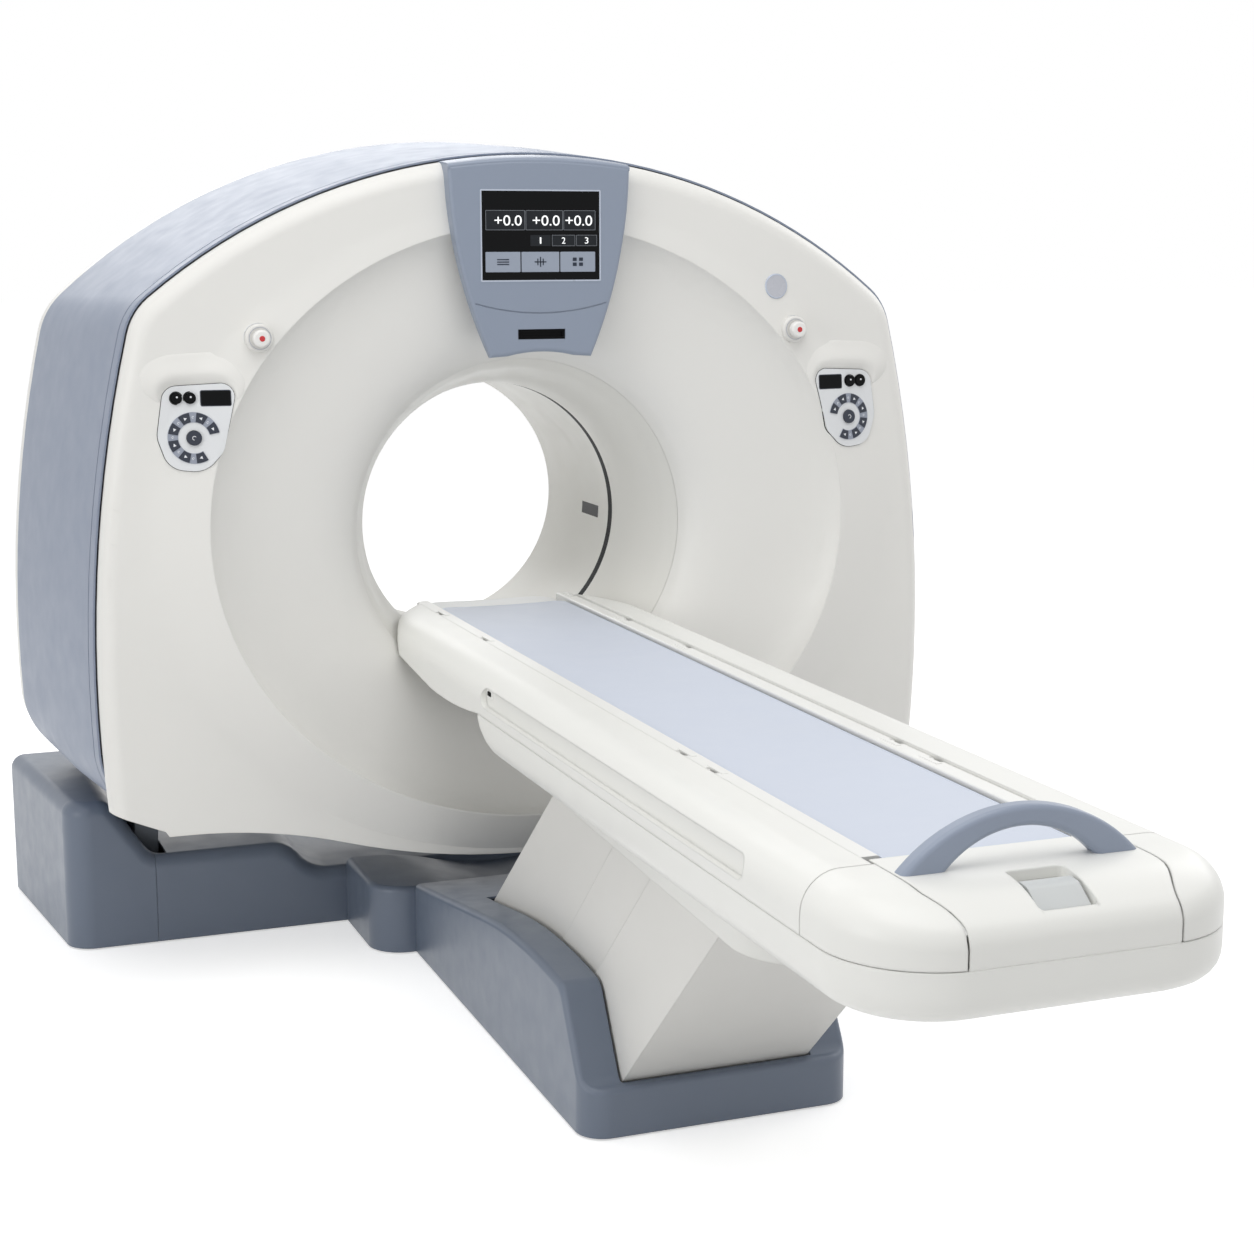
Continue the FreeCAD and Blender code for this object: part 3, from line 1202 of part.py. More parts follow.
def foot_mass(inset):
    """The rounded foot end: plan corners, a sloping top and an end that leans in below."""
    half, end = HALF - inset, -n("couch_extreme") + inset
    corner = 170 - inset
    start = FOOT - GAP if not inset else FOOT + 1
    bulge = corner * (1 - math.sqrt(0.5))
    edges = [Part.makeLine(V(-half + corner, end, 0), V(half - corner, end, 0)),
             Part.makeLine(V(half, start, 0), V(-half, start, 0))]
    for sign in (-1, 1):
        edges.append(arc(V(sign * (half - corner), end, 0), V(sign * (half - bulge), end + bulge, 0),
                         V(sign * half, end + corner, 0)))
        edges.append(Part.makeLine(V(sign * half, end + corner, 0), V(sign * half, start, 0)))
    plan = extrude_wire(edges, V(0, 0, 500))
    plan.translate(V(0, 0, 500))
    top, low = TOP - inset, n("band_lower_edge") - 36 + inset
    crown = end - 1.5
    side = [Part.makeLine(V(0, start + 5, top), V(0, -2735, top)),
            arc(V(0, -2735, top), V(0, -2812, top - 12), V(0, crown, top - 48)),
            Part.makeLine(V(0, crown, top - 48), V(0, end + 4, top - 100)),
            arc(V(0, end + 4, top - 100), V(0, end + 70, low + 36), V(0, end + 165, low)),
            Part.makeLine(V(0, end + 165, low), V(0, start + 5, low)),
            Part.makeLine(V(0, start + 5, low), V(0, start + 5, top))]
    block = extrude_wire(side, V(1000, 0, 0))
    block.translate(V(-500, 0, 0))
    section = [(-half, n("band_lower_edge") + inset), (-240, low), (240, low),
               (half, n("band_lower_edge") + inset), (half, 950), (-half, 950)]
    mass = plan.common(block).common(extrude_y(section, -3000, -2500))
    shoulder = [e for e in mass.Edges if e.BoundBox.ZMin > top - 0.5 and e.BoundBox.XLength < 0.5
                and abs(abs(e.BoundBox.XMax) - half) < 0.5]
    return mass, shoulder


def foot_shells():
    outer, shoulder = foot_mass(0)
    outer = outer.common(couch_profile(0))
    inner = foot_mass(SHELL)[0].common(couch_profile(SHELL))
    shell = outer.cut(inner)
    wide = CHANNEL - 4
    waist, lip = n("cap_half") + 4, n("table_bottom") + 13.5
    cap_room = Part.makeBox(2 * wide, 600, 400, V(-wide, -3100, lip)).fuse(
        Part.makeBox(2 * waist, 600, 400, V(-waist, -3100, n("cap_bottom") - 7)))
    rest = shell.cut(cap_room)
    fascia = rest.common(Part.makeBox(2 * wide, 600, 400, V(-wide, -3100, 500)))
    left = rest.common(Part.makeBox(400, 600, 500, V(-wide - GAP - 400, -3100, 500)))
    right = rest.common(Part.makeBox(400, 600, 500, V(wide + GAP, -3100, 500)))
    return outer, fascia, left, right


def couch_profile(inset):
    """The couch's cross-section with its soft shoulders, run past the foot end."""
    half, top, r = HALF - inset, TOP - inset, n("couch_shoulder") - inset
    bulge = r * (1 - math.sqrt(0.5))
    y = -3000
    edges = [Part.makeLine(V(-half, y, 600), V(half, y, 600)),
             Part.makeLine(V(half - r, y, top), V(-half + r, y, top))]
    for sign in (-1, 1):
        edges.append(Part.makeLine(V(sign * half, y, 600), V(sign * half, y, top - r)))
        edges.append(arc(V(sign * half, y, top - r), V(sign * (half - bulge), y, top - bulge),
                         V(sign * (half - r), y, top)))
    return extrude_wire(edges, V(0, 600, 0))


def lower_band(fascia):
    start, end = -1001, FOOT
    outer = extrude_y(under_section(0), end, start)
    inner = extrude_y(under_section(SHELL), end - 1, start - SHELL)
    band = outer.cut(inner)
    channel = Part.makeBox(480, start - end + 2 - 8, 300, V(-240, end + 8, 600))
    band = band.cut(channel)
    low = n("band_lower_edge") - 36
    web = Part.makeBox(2 * CHANNEL, 8, 60, V(-CHANNEL, end, low))
    link = Part.makeBox(2 * (CHANNEL - 4), 12, SHELL, V(-CHANNEL + 4, end - 6, low))
    return band.fuse([web, link, fascia])


foot_outer, foot_fascia, foot_left, foot_right = foot_shells()
node("couch_shell", shape_part(couch_shell()))
node("couch_lower_band", shape_part(lower_band(foot_fascia)))
node("foot_corner_left", shape_part(foot_left))
node("foot_corner_right", shape_part(foot_right))

# sliding tabletop with its mat, rail strips, end cap and handle
HEAD = n("table_head")
TABLE_END = -n("table_foot")
TABLE_HALF = n("table_half")


def table_section(low_edge, low_mid, high_edge, high_mid, half, start, end):
    edges = [arc(V(-half, start, low_edge), V(0, start, low_mid), V(half, start, low_edge)),
             Part.makeLine(V(half, start, low_edge), V(half, start, high_edge)),
             arc(V(half, start, high_edge), V(0, start, high_mid), V(-half, start, high_edge)),
             Part.makeLine(V(-half, start, high_edge), V(-half, start, low_edge))]
    return extrude_wire(edges, V(0, end - start, 0))


def round_head(solid, radius, at):
    uprights = [e for e in solid.Edges if e.BoundBox.XLength < 0.1 and e.BoundBox.YLength < 0.1
                and abs(e.BoundBox.YMax - at) < 1]
    return solid.makeFillet(radius, uprights)


mat_low = n("mat_top") - n("mat_thickness")
bottom = n("table_bottom")
top_plate = table_section(mat_low - 8, bottom, mat_low + 2, mat_low - 2, TABLE_HALF, TABLE_END, HEAD)
top_plate = round_head(top_plate, 70, HEAD)
node("tabletop", shape_part(top_plate))
mat = table_section(mat_low + 2.3, mat_low - 1.7, n("mat_top") + 2, n("mat_top") - 2, TABLE_HALF - 3.5,
                    TABLE_END + 1, -123)
node("mat", shape_part(round_head(mat, 38, -123)))

rails = []
for sign in (-1, 1):
    inner_x, outer_x = TABLE_HALF + 0.3, n("rail_outer")
    x0 = inner_x if sign > 0 else -outer_x
    rail = Part.makeBox(outer_x - inner_x, 2540, n("rail_top") - bottom - 14, V(x0, -2590, bottom + 14))
    tail = [e for e in rail.Edges if e.BoundBox.YMin > -60 and e.BoundBox.ZLength > 20
            and abs(sign * (e.BoundBox.XMax + e.BoundBox.XMin) / 2 - outer_x) < 1]
    rail = rail.makeFillet(25, tail)
    bar = [e for e in rail.Edges if e.BoundBox.ZMin > n("rail_top") - 1 and e.BoundBox.YMax > -2589]
    rails.append(rail.makeFillet(4, bar))
for sign, places in ((-1, (-256, -634, -1863, -2004)), (1, (-93, -502, -891, -1921, -2074))):
    for y in places:
        notch = Part.makeBox(12, 46, 14, V(n("rail_outer") - 12 if sign > 0 else -n("rail_outer"), y - 23,
                                           n("rail_top") - 14))
        index = 0 if sign < 0 else 1
        rails[index] = rails[index].cut(notch)
node("table_rails", shape_part(Part.Compound(rails)))

cap_low = n("cap_bottom")
lip = bottom + 16
cap_block = Part.makeBox(2 * (CHANNEL - 7), 400, 200, V(-CHANNEL + 7, TABLE_END - 400 - GAP, lip))
cap_tail = Part.makeBox(2 * n("cap_half"), 400, lip - cap_low, V(-n("cap_half"), TABLE_END - 400 - GAP, cap_low))
cap = foot_outer.fuse(extrude_x([(FOOT - 5, 600), (TABLE_END, 600), (TABLE_END, TOP), (FOOT - 5, TOP)], HALF - 80))
cap = cap.common(cap_block.fuse(cap_tail))
recess_box = Part.makeBox(100, 104, 80, V(-50, -2849, 798))
node("end_cap", shape_part(cap.cut(recess_box)))
lever = foot_outer.common(Part.makeBox(98.4, 102.4, 80, V(-49.2, -2848.2, 803)))
lever.translate(V(0, 0, -1.2))
node("release_button", shape_part(lever))


def handle_shape():
    y0, y1 = -2718.0, -2684.0
    feet = TOP + 0.2
    edges = [arc(V(-205, y0, feet), V(0, y0, 956), V(205, y0, feet)),
             Part.makeLine(V(205, y0, feet), V(129, y0, feet)),
             arc(V(129, y0, feet), V(0, y0, 922), V(-129, y0, feet)),
             Part.makeLine(V(-129, y0, feet), V(-205, y0, feet))]
    arch = extrude_wire(edges, V(0, y1 - y0, 0))
    long_edges = [e for e in arch.Edges if e.BoundBox.YLength < 1 and e.BoundBox.XLength > 200]
    return arch.makeFillet(10, long_edges)


node("handle", shape_part(handle_shape()))

# frame of the couch top
beam_low, rail_low = 690.0, 700.0
carriage = 715.3
beam_parts = [box((-190, 190), (-2200, -800), (beam_low, rail_low))]
beam_parts += [box((-212, 212), (y, y + 34), (beam_low - 14, rail_low)) for y in (-826, -2156)]
for sign in (-1, 1):
    beam_parts.append(box((sign * 155 - 15, sign * 155 + 15), (-2180, -820), (rail_low, 715)))
top_holes = []
for reach, offset, thick in ((pin_a, front_lug_x, 16), (pin_c, rear_lug_x, 16)):
    tip_y = -reach - S.link_length.number * 0
    for sign in (-1, 1):
        x0 = offset * sign - thick * 0.5
        pin_y = -reach - LINK_RUN
        beam_parts.append(box((x0, x0 + thick), (pin_y - 30, pin_y + 30), (TOP_PIN_Z, beam_low)))
        beam_parts.append(rod("X", 30, thick, x0, pin_y, TOP_PIN_Z))
        top_holes.append(rod("X", fit_r, thick + 2, x0 - 1, pin_y, TOP_PIN_Z))
node("couch_beam", cut(fuse(*beam_parts), *top_holes))


def trough_shape():
    def mass(inset):
        half = n("trough_outer_half") - inset
        edges = [Part.makeLine(V(half, -770 - inset, 0), V(-half, -770 - inset, 0)),
                 Part.makeLine(V(half, -770 - inset, 0), V(half, -2140, 0)),
                 Part.makeLine(V(-half, -770 - inset, 0), V(-half, -2140, 0)),
                 arc(V(half, -2140, 0), V(half * 0.76, -2245 + inset, 0), V(80, -2276 + inset, 0)),
                 Part.makeLine(V(80, -2276 + inset, 0), V(-80, -2276 + inset, 0)),
                 arc(V(-80, -2276 + inset, 0), V(-half * 0.76, -2245 + inset, 0), V(-half, -2140, 0))]
        plan = extrude_wire(edges, V(0, 0, 400))
        plan.translate(V(0, 0, 500))
        low = inset * 0.4
        side = extrude_x([(-2300, 571 + low), (-2276, 572 + low), (-800, 636 + low), (-740, 650 + low),
                          (-740, 698), (-2300, 698)], 300)
        return plan.common(side)

    inner_wall = n("trough_outer_half") - n("trough_inner_half")
    tray = mass(0).cut(mass(inner_wall).fuse(Part.makeBox(2 * n("trough_inner_half"), 1400, 46, V(
        -n("trough_inner_half"), -2210, 674))))
    mouth = Part.makeBox(2 * n("trough_inner_half") - 2, 1275, 200, V(1 - n("trough_inner_half"), -2110, 540))
    return tray.cut(mouth)


node("couch_trough", shape_part(trough_shape()))

bed = []
for sign in (-1, 1):
    a, b = (222, 252) if sign > 0 else (-252, -222)
    bed.append(box((a, b), (-2600, -1010), (735, 812)))
    bed.append(box((a, b), (-1010, -420), (790, 812)))
    c, d = (183, 252) if sign > 0 else (-252, -183)
    bed.append(box((c, d), (-2600, -420), (812, 821.5)))
    for y in (-1060, -1830, -2560):
        e, f = (252, HALF - SHELL) if sign > 0 else (SHELL - HALF, -252)
        bed.append(box((e, f), (y, y + 40), (769, 784)))
    for y in (-1180, -1560):
        bed.append(box((sign * 155 - 20, sign * 155 + 20), (y, y + 160), (carriage, 740)))
bed += [box((-252, 252), (y, y + 60), (735, 750)) for y in (-1080, -1510, -2560)]
node("bed_frame", fuse(*bed))

doc.recompute()
faults = []
for obj in doc.Objects:
    if "Invalid" in obj.State or "Error" in obj.State:
        faults.append("%s is in state %s" % (obj.Label, obj.State))
total = 0
for obj in nodes:
    shape = obj.Shape
    if shape.isNull() or not shape.isValid() or not shape.Solids:
        faults.append("%s has no valid solid" % obj.Label)
        continue
    mesh = len(shape.tessellate(1.0)[1])
    total += mesh
    box_now = shape.BoundBox
    print("%-24s solids %2d faces %3d tris %5d  x %7.1f %7.1f y %7.1f %7.1f z %7.1f %7.1f" % (
        obj.Label, len(shape.Solids), len(shape.Faces), mesh, box_now.XMin, box_now.XMax,
        box_now.YMin, box_now.YMax, box_now.ZMin, box_now.ZMax))
print("nodes", len(nodes), "triangles", total)
if faults:
    raise RuntimeError("; ".join(faults))
os.makedirs("parts", exist_ok=True)
for obj in nodes:
    obj.Shape.exportStep(os.path.join("parts", obj.Label + ".step"))
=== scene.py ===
"""The looks of the scanner: materials, fine detail, studio and camera, over the fixed frame."""
import bpy, bmesh, math
from mathutils import Vector, Matrix
from mathutils.bvhtree import BVHTree


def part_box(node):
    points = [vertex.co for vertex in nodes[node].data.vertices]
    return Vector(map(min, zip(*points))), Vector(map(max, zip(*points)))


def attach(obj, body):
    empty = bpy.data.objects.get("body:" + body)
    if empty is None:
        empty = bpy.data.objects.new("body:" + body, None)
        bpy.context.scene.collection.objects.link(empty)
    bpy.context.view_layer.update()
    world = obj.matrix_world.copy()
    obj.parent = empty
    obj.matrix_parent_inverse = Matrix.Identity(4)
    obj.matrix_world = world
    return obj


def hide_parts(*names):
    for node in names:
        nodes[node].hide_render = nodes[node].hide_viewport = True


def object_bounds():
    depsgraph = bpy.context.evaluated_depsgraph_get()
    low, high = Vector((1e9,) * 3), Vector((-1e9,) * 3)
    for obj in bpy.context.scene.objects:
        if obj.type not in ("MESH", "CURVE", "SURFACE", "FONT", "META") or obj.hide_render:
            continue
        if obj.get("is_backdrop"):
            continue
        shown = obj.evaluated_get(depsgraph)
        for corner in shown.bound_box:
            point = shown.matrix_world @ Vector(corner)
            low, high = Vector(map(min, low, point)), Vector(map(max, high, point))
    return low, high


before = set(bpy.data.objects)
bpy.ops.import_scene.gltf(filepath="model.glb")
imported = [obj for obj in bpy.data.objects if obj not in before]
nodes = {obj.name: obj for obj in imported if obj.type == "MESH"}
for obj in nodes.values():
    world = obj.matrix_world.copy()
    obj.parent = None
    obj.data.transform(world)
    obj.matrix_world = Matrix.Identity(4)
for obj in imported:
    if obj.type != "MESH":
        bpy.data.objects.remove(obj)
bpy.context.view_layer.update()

scene = bpy.context.scene
MM = 0.001


# ---------------- materials
def srgb(r, g, b):
    out = []
    for value in (r, g, b):
        value /= 255
        out.append(value / 12.92 if value <= 0.04045 else ((value + 0.055) / 1.055) ** 2.4)
    return tuple(out) + (1.0,)


def shade(colour, factor):
    return tuple(min(1.0, c * factor) for c in colour[:3]) + (1.0,)


CLOUD_SCALE, PATCH_SCALE = 2.3, 17      # waves per metre in the colour and in the gloss
ROUGH_SWING = 0.045
GRAIN_DEPTH = 0.0006
COAT_ROUGHNESS = 0.15


class Nodes:
    """Shorthand for building a node tree from nothing."""

    def __init__(self, tree):
        self.tree = tree
        tree.nodes.clear()

    def node(self, kind):
        return self.tree.nodes.new(kind)

    def link(self, a, b):
        self.tree.links.new(a, b)

    def fill(self, node, values):
        """Sets or links a node's inputs by their names or numbers, and gives the node back."""
        for key, value in values.items():
            if isinstance(value, (float, int, tuple)):
                node.inputs[key].default_value = value
            else:
                self.link(value, node.inputs[key])
        return node

    def span(self, value, low, high, start=0.3, end=0.7):
        values = {"Value": value, "From Min": start, "From Max": end, "To Min": low, "To Max": high}
        return self.fill(self.node("ShaderNodeMapRange"), values).outputs[0]

    def maths(self, kind, a, b):
        m = self.fill(self.node("ShaderNodeMath"), {0: a, 1: b})
        m.operation = kind
        return m.outputs[0]

    def direct_rays(self):
        """1 for rays from the camera and for those that gloss or glass pass on, 0 for light on the object."""
        rays = self.node("ShaderNodeLightPath").outputs
        either = self.maths("MAXIMUM", rays["Is Camera Ray"], rays["Is Glossy Ray"])
        return self.maths("MAXIMUM", either, rays["Is Transmission Ray"])


class Finish(Nodes):
    """A procedural material: mottled colour, uneven gloss, a fine moulded grain, and lighter edges that are
    partly rubbed wear and partly a painted highlight.
    """

    def __init__(self, name, colour, rough=0.34, mottle=0.01, grain=0.02, grain_size=900, coat=0.0, metal=0.0,
            edge=0.0, edge_mm=2, sheen=0.0, level=0.5):
        self.material = bpy.data.materials.new(name)
        self.material.use_nodes = True
        super().__init__(self.material.node_tree)
        colour = srgb(*colour)
        self.shader = self.node("ShaderNodeBsdfPrincipled")
        self.fill(self.node("ShaderNodeOutputMaterial"), {0: self.shader.outputs[0]})
        self.place = self.node("ShaderNodeTexCoord").outputs["Object"]
        self.tone = self.mix(self.noise(CLOUD_SCALE, 5), shade(colour, 1 - mottle), shade(colour, 1 + mottle))
        # lighter edges: partly rubbed wear, partly a painted highlight along the rims
        if edge:
            self.tone = self.mix(self.edge_mask(edge_mm), self.tone, shade(colour, 1 + edge * 2))
        uneven = self.span(self.noise(PATCH_SCALE, 3), max(0.02, rough - ROUGH_SWING), rough + ROUGH_SWING)
        bump = self.fill(self.node("ShaderNodeBump"), {"Strength": grain, "Distance": GRAIN_DEPTH,
                "Height": self.noise(grain_size, 2)})
        if edge:
            self.link(self.bevel.outputs[0], bump.inputs["Normal"])
        self.fill(self.shader, {"Metallic": metal, "Coat Weight": coat, "Coat Roughness": COAT_ROUGHNESS,
                "Sheen Weight": sheen, "Specular IOR Level": level, "Base Color": self.tone,
                "Roughness": uneven, "Normal": bump.outputs[0]})

    def noise(self, scale, detail):
        values = {"Vector": self.place, "Scale": scale, "Detail": detail}
        return self.fill(self.node("ShaderNodeTexNoise"), values).outputs["Fac"]

    def mix(self, factor, a, b):
        m = self.node("ShaderNodeMix")
        m.data_type = "RGBA"
        return self.fill(m, {0: factor, 6: a, 7: b}).outputs[2]

    # the mask of the lightened edges: partly rubbed wear, partly painted highlight
    def edge_mask(self, radius):
        self.bevel = self.node("ShaderNodeBevel")
        self.bevel.samples = 4
        self.fill(self.bevel, {"Radius": radius * MM})
        normal = self.node("ShaderNodeNewGeometry").outputs["Normal"]
        dot = self.fill(self.node("ShaderNodeVectorMath"), {0: self.bevel.outputs[0], 1: normal})
        dot.operation = "DOT_PRODUCT"
        turned = self.maths("SUBTRACT", 1.0, dot.outputs["Value"])
        patchy = self.span(self.noise(9, 4), 0.2, 1.0)
        return self.maths("MULTIPLY", self.span(turned, 0.0, 1.0, 0.01, 0.12), patchy)

    def recolour(self, mask, colour):
        self.tone = self.mix(mask, self.tone, srgb(*colour))
        self.link(self.tone, self.shader.inputs["Base Color"])

    def over_x(self, start, end, blend):
        """1 where x (mm) lies between start and end."""
        x = self.fill(self.node("ShaderNodeSeparateXYZ"), {0: self.place}).outputs["X"]
        up = self.span(x, 0, 1, (start - blend) * MM, (start + blend) * MM)
        down = self.span(x, 1, 0, (end - blend) * MM, (end + blend) * MM)
        return self.maths("MULTIPLY", up, down)


WHITE = (233, 232, 228)

cover_white = Finish("cover_white", WHITE, rough=0.42, grain=0.012, edge=0.015, edge_mm=4)
couch_white = Finish("couch_white", (236, 236, 232), rough=0.36, grain=0.012, edge=0.015, edge_mm=6)
column_white = Finish("column_white", (228, 227, 223), rough=0.45, mottle=0.012, grain=0.015, edge=0.015,
        edge_mm=5)
funnel_white = Finish("funnel_white", (232, 231, 226), rough=0.4, mottle=0.008, grain=0.01)
liner_white = Finish("liner_white", (224, 223, 217), mottle=0.008, grain=0.01)
band_blue = Finish("band_blue", (133, 143, 162), rough=0.42, mottle=0.012, grain=0.01, edge=0.012, edge_mm=4)
console_blue = Finish("console_blue", (140, 150, 167), rough=0.36, mottle=0.012, grain=0.01, edge=0.02)
base_blue = Finish("base_blue", (106, 116, 132), grain=0.006, edge=0.012, edge_mm=4)
handle_blue = Finish("handle_blue", (144, 154, 172), mottle=0.03, grain=0.08, grain_size=1400)
panel_grey = Finish("panel_grey", (226, 228, 230), rough=0.35, mottle=0.012, grain=0.03, edge=0.02, edge_mm=1)
release_grey = Finish("release_grey", (205, 208, 208), rough=0.4, mottle=0.02, grain=0.06, edge=0.03, edge_mm=1.5)
bezel_white = Finish("bezel_white", (226, 225, 221), rough=0.38, mottle=0.015, grain=0.03, edge=0.03, edge_mm=0.8)
button_white = Finish("button_white", (238, 237, 234), rough=0.3, coat=0.2, edge=0.02, edge_mm=0.8)
plug_grey = Finish("plug_grey", (190, 192, 200), rough=0.28, mottle=0.02, coat=0.3, edge=0.03, edge_mm=0.8)
red_lens = Finish("red_lens", (196, 22, 34), rough=0.25, mottle=0.04, coat=0.5)
gloss_black = Finish("gloss_black", (7, 8, 10), rough=0.22, mottle=0.1, grain=0.01, level=0.12)
# black for slots and catches; in the strap notches it is painted shade of the holes
slot_black = Finish("slot_black", (8, 8, 10), rough=0.6, mottle=0.1, grain=0.05, level=0.1)
key_navy = Finish("key_navy", (38, 44, 58), rough=0.35, mottle=0.06, grain=0.06, edge=0.04, edge_mm=0.6)
key_steel = Finish("key_steel", (150, 156, 170), rough=0.35, mottle=0.03, grain=0.04, edge=0.03, edge_mm=0.6)
mark_white = Finish("mark_white", (232, 234, 238), rough=0.5)
seal_black = Finish("seal_black", (18, 19, 21), rough=0.6, mottle=0.1, grain=0.1, level=0.2)
tabletop_white = Finish("tabletop_white", (214, 216, 216), mottle=0.015, coat=0.15, edge=0.02, edge_mm=1.5)
rail_white = Finish("rail_white", (238, 238, 235), grain=0.03, edge=0.015, edge_mm=1.2)
steel_frame = Finish("steel_frame", (92, 97, 104), rough=0.5, mottle=0.06, grain=0.15, grain_size=500,
        metal=0.3, edge=0.1, edge_mm=1.5)
cast_grey = Finish("cast_grey", (140, 143, 148), rough=0.55, mottle=0.06, grain=0.3, grain_size=350,
        metal=0.2, edge=0.08)
bright_steel = Finish("bright_steel", (176, 178, 182), rough=0.28, mottle=0.04, grain=0.05, metal=0.9,
        edge=0.05, edge_mm=1)
tube_metal = Finish("tube_metal", (160, 164, 172), rough=0.4, mottle=0.04, grain=0.1, metal=0.6, edge=0.05)
detector_dark = Finish("detector_dark", (58, 60, 66), rough=0.5, mottle=0.05, grain=0.1, edge=0.05)


# ---------------- the CAD parts keep their shapes
def modify(obj, name, kind, **values):
    m = obj.modifiers.new(name, kind)
    for key, value in values.items():
        setattr(m, key, value)


def smooth(obj, angle=28, weld=True):
    """Soft shading across curved faces, crisp at real edges, by modifiers alone."""
    for p in obj.data.polygons:
        p.use_smooth = True
    if weld:
        modify(obj, "weld", "WELD", merge_threshold=0.00002)
    modify(obj, "edges", "EDGE_SPLIT", split_angle=math.radians(angle))
    modify(obj, "normals", "WEIGHTED_NORMAL", keep_sharp=True, weight=80)


def finish_piece(obj, finish):
    obj.data.materials.clear()
    obj.data.materials.append(finish.material if isinstance(finish, Finish) else finish)


groups = {      # * stands for left and right
    cover_white: "front_cover",
    funnel_white: "funnel_ring",
    liner_white: "bore_liner",
    seal_black: "scan_window",
    band_blue: "side_band",
    console_blue: "console_housing",
    gloss_black: "touch_screen laser_window light_button_*_1 light_button_*_2",
    slot_black: "console_slot",
    plug_grey: "round_plug",
    bezel_white: "estop_bezels",
    button_white: "estop_button_*",
    panel_grey: "panel_*",
    key_navy: "keypad_* centre_button_*",
    base_blue: "gantry_base_cover base_end_cover_* base_step_cover couch_base_cover",
    steel_frame: "gantry_base_frame tilt_arm_* couch_base_frame tilt_frame bed_frame couch_beam front_arm "
        "rear_arm",
    cast_grey: "tilt_gearmotor levelling_feet generator",
    bright_steel: "main_bearing",
    tube_metal: "xray_tube rotor_drum",
    detector_dark: "detector",
    column_white: "column_cover_gantry column_cover_foot column_cover_middle_*",
    couch_white: "couch_shell couch_lower_band foot_corner_* end_cap couch_trough",
    tabletop_white: "tabletop",
    rail_white: "table_rails",
    release_grey: "release_button",
    handle_blue: "handle",
}
rear_white = Finish("rear_white", WHITE, rough=0.42, mottle=0.012, grain=0.035, edge=0.02, edge_mm=2.5)
groups[rear_white] = "rear_cover"
for finish, names in groups.items():
    for pattern in names.split():
        for name in sorted({pattern.replace("*", side) for side in ("left", "right")}):
            finish_piece(nodes[name], finish)
            smooth(nodes[name])
finish_piece(nodes["mat"], rail_white)


# ---------------- building helpers
def new_object(name, mesh, finish, body="gantry", shading=30, soft=None, wall=None, segments=2, bevel_angle=35):
    """A piece of the scene on its body: soft is the width of its rounded edges, wall its thickness (mm)."""
    obj = bpy.data.objects.new(name, mesh)
    scene.collection.objects.link(obj)
    finish_piece(obj, finish)
    if wall:
        modify(obj, "wall", "SOLIDIFY", thickness=wall * MM, offset=-1)
    if soft:
        modify(obj, "bevel", "BEVEL", width=soft * MM, segments=segments, limit_method="ANGLE",
               angle_limit=math.radians(bevel_angle))
    if shading:
        smooth(obj, shading, weld=False)
    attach(obj, body)
    return obj


def mesh_of(name, verts, faces):
    mesh = bpy.data.meshes.new(name)
    mesh.from_pydata([Vector(v) * MM for v in verts], [], faces)
    mesh.update()
    return mesh


def outward(mesh):
    """Turns the faces of a mesh outwards."""
    bm = bmesh.new()
    bm.from_mesh(mesh)
    bmesh.ops.recalc_face_normals(bm, faces=bm.faces[:])
    bm.to_mesh(mesh)
    bm.free()
    return mesh


def mesh_from(bm, name):
    mesh = bpy.data.meshes.new(name)
    bm.to_mesh(mesh)
    bm.free()
    return mesh


def grid_faces(count, wide):
    """The faces between count rows of wide points each."""
    return [(a, a + 1, a + wide + 1, a + wide)
            for i in range(count - 1) for a in range(i * wide, i * wide + wide - 1)]


def new_verts(out):
    """The vertices that an operator reports as its own."""
    return [v for v in out["geom"] if isinstance(v, bmesh.types.BMVert)]


def everything(bm):
    return bm.verts[:] + bm.edges[:] + bm.faces[:]


trees = {}


def first_hit(name, start, direction):
    """Where a ray from start (mm) meets a part of the frame, in mm, or None."""
    if name not in trees:
        mesh = nodes[name].data
        trees[name] = BVHTree.FromPolygons([v.co.copy() for v in mesh.vertices],
                [tuple(p.vertices) for p in mesh.polygons])
    place = trees[name].ray_cast(Vector(start) * MM, Vector(direction))[0]
    return None if place is None else place / MM


def ease(t):
    """0 to 1 with a soft start and a soft end."""
    t = max(0.0, min(1.0, t))
    return t * t * (3 - 2 * t)


IN_FRONT = -700.0       # y from which the rays start, clear of the gantry's face
FACE_Y = -436.0         # y of the front cover's face, where a ray meets nothing


def skin_y(names, x, z):
    """The y (mm) of the first of these parts met from the front at x, z."""
    hits = [first_hit(name, (x, IN_FRONT, z), (0, 1, 0)) for name in names]
    return min((hit.y for hit in hits if hit is not None), default=None)


def front_of(name):
    """A part's middle in x and z, and its front in y (mm)."""
    low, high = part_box(name)
    return (low.x + high.x) / 2 / MM, (low.z + high.z) / 2 / MM, low.y / MM


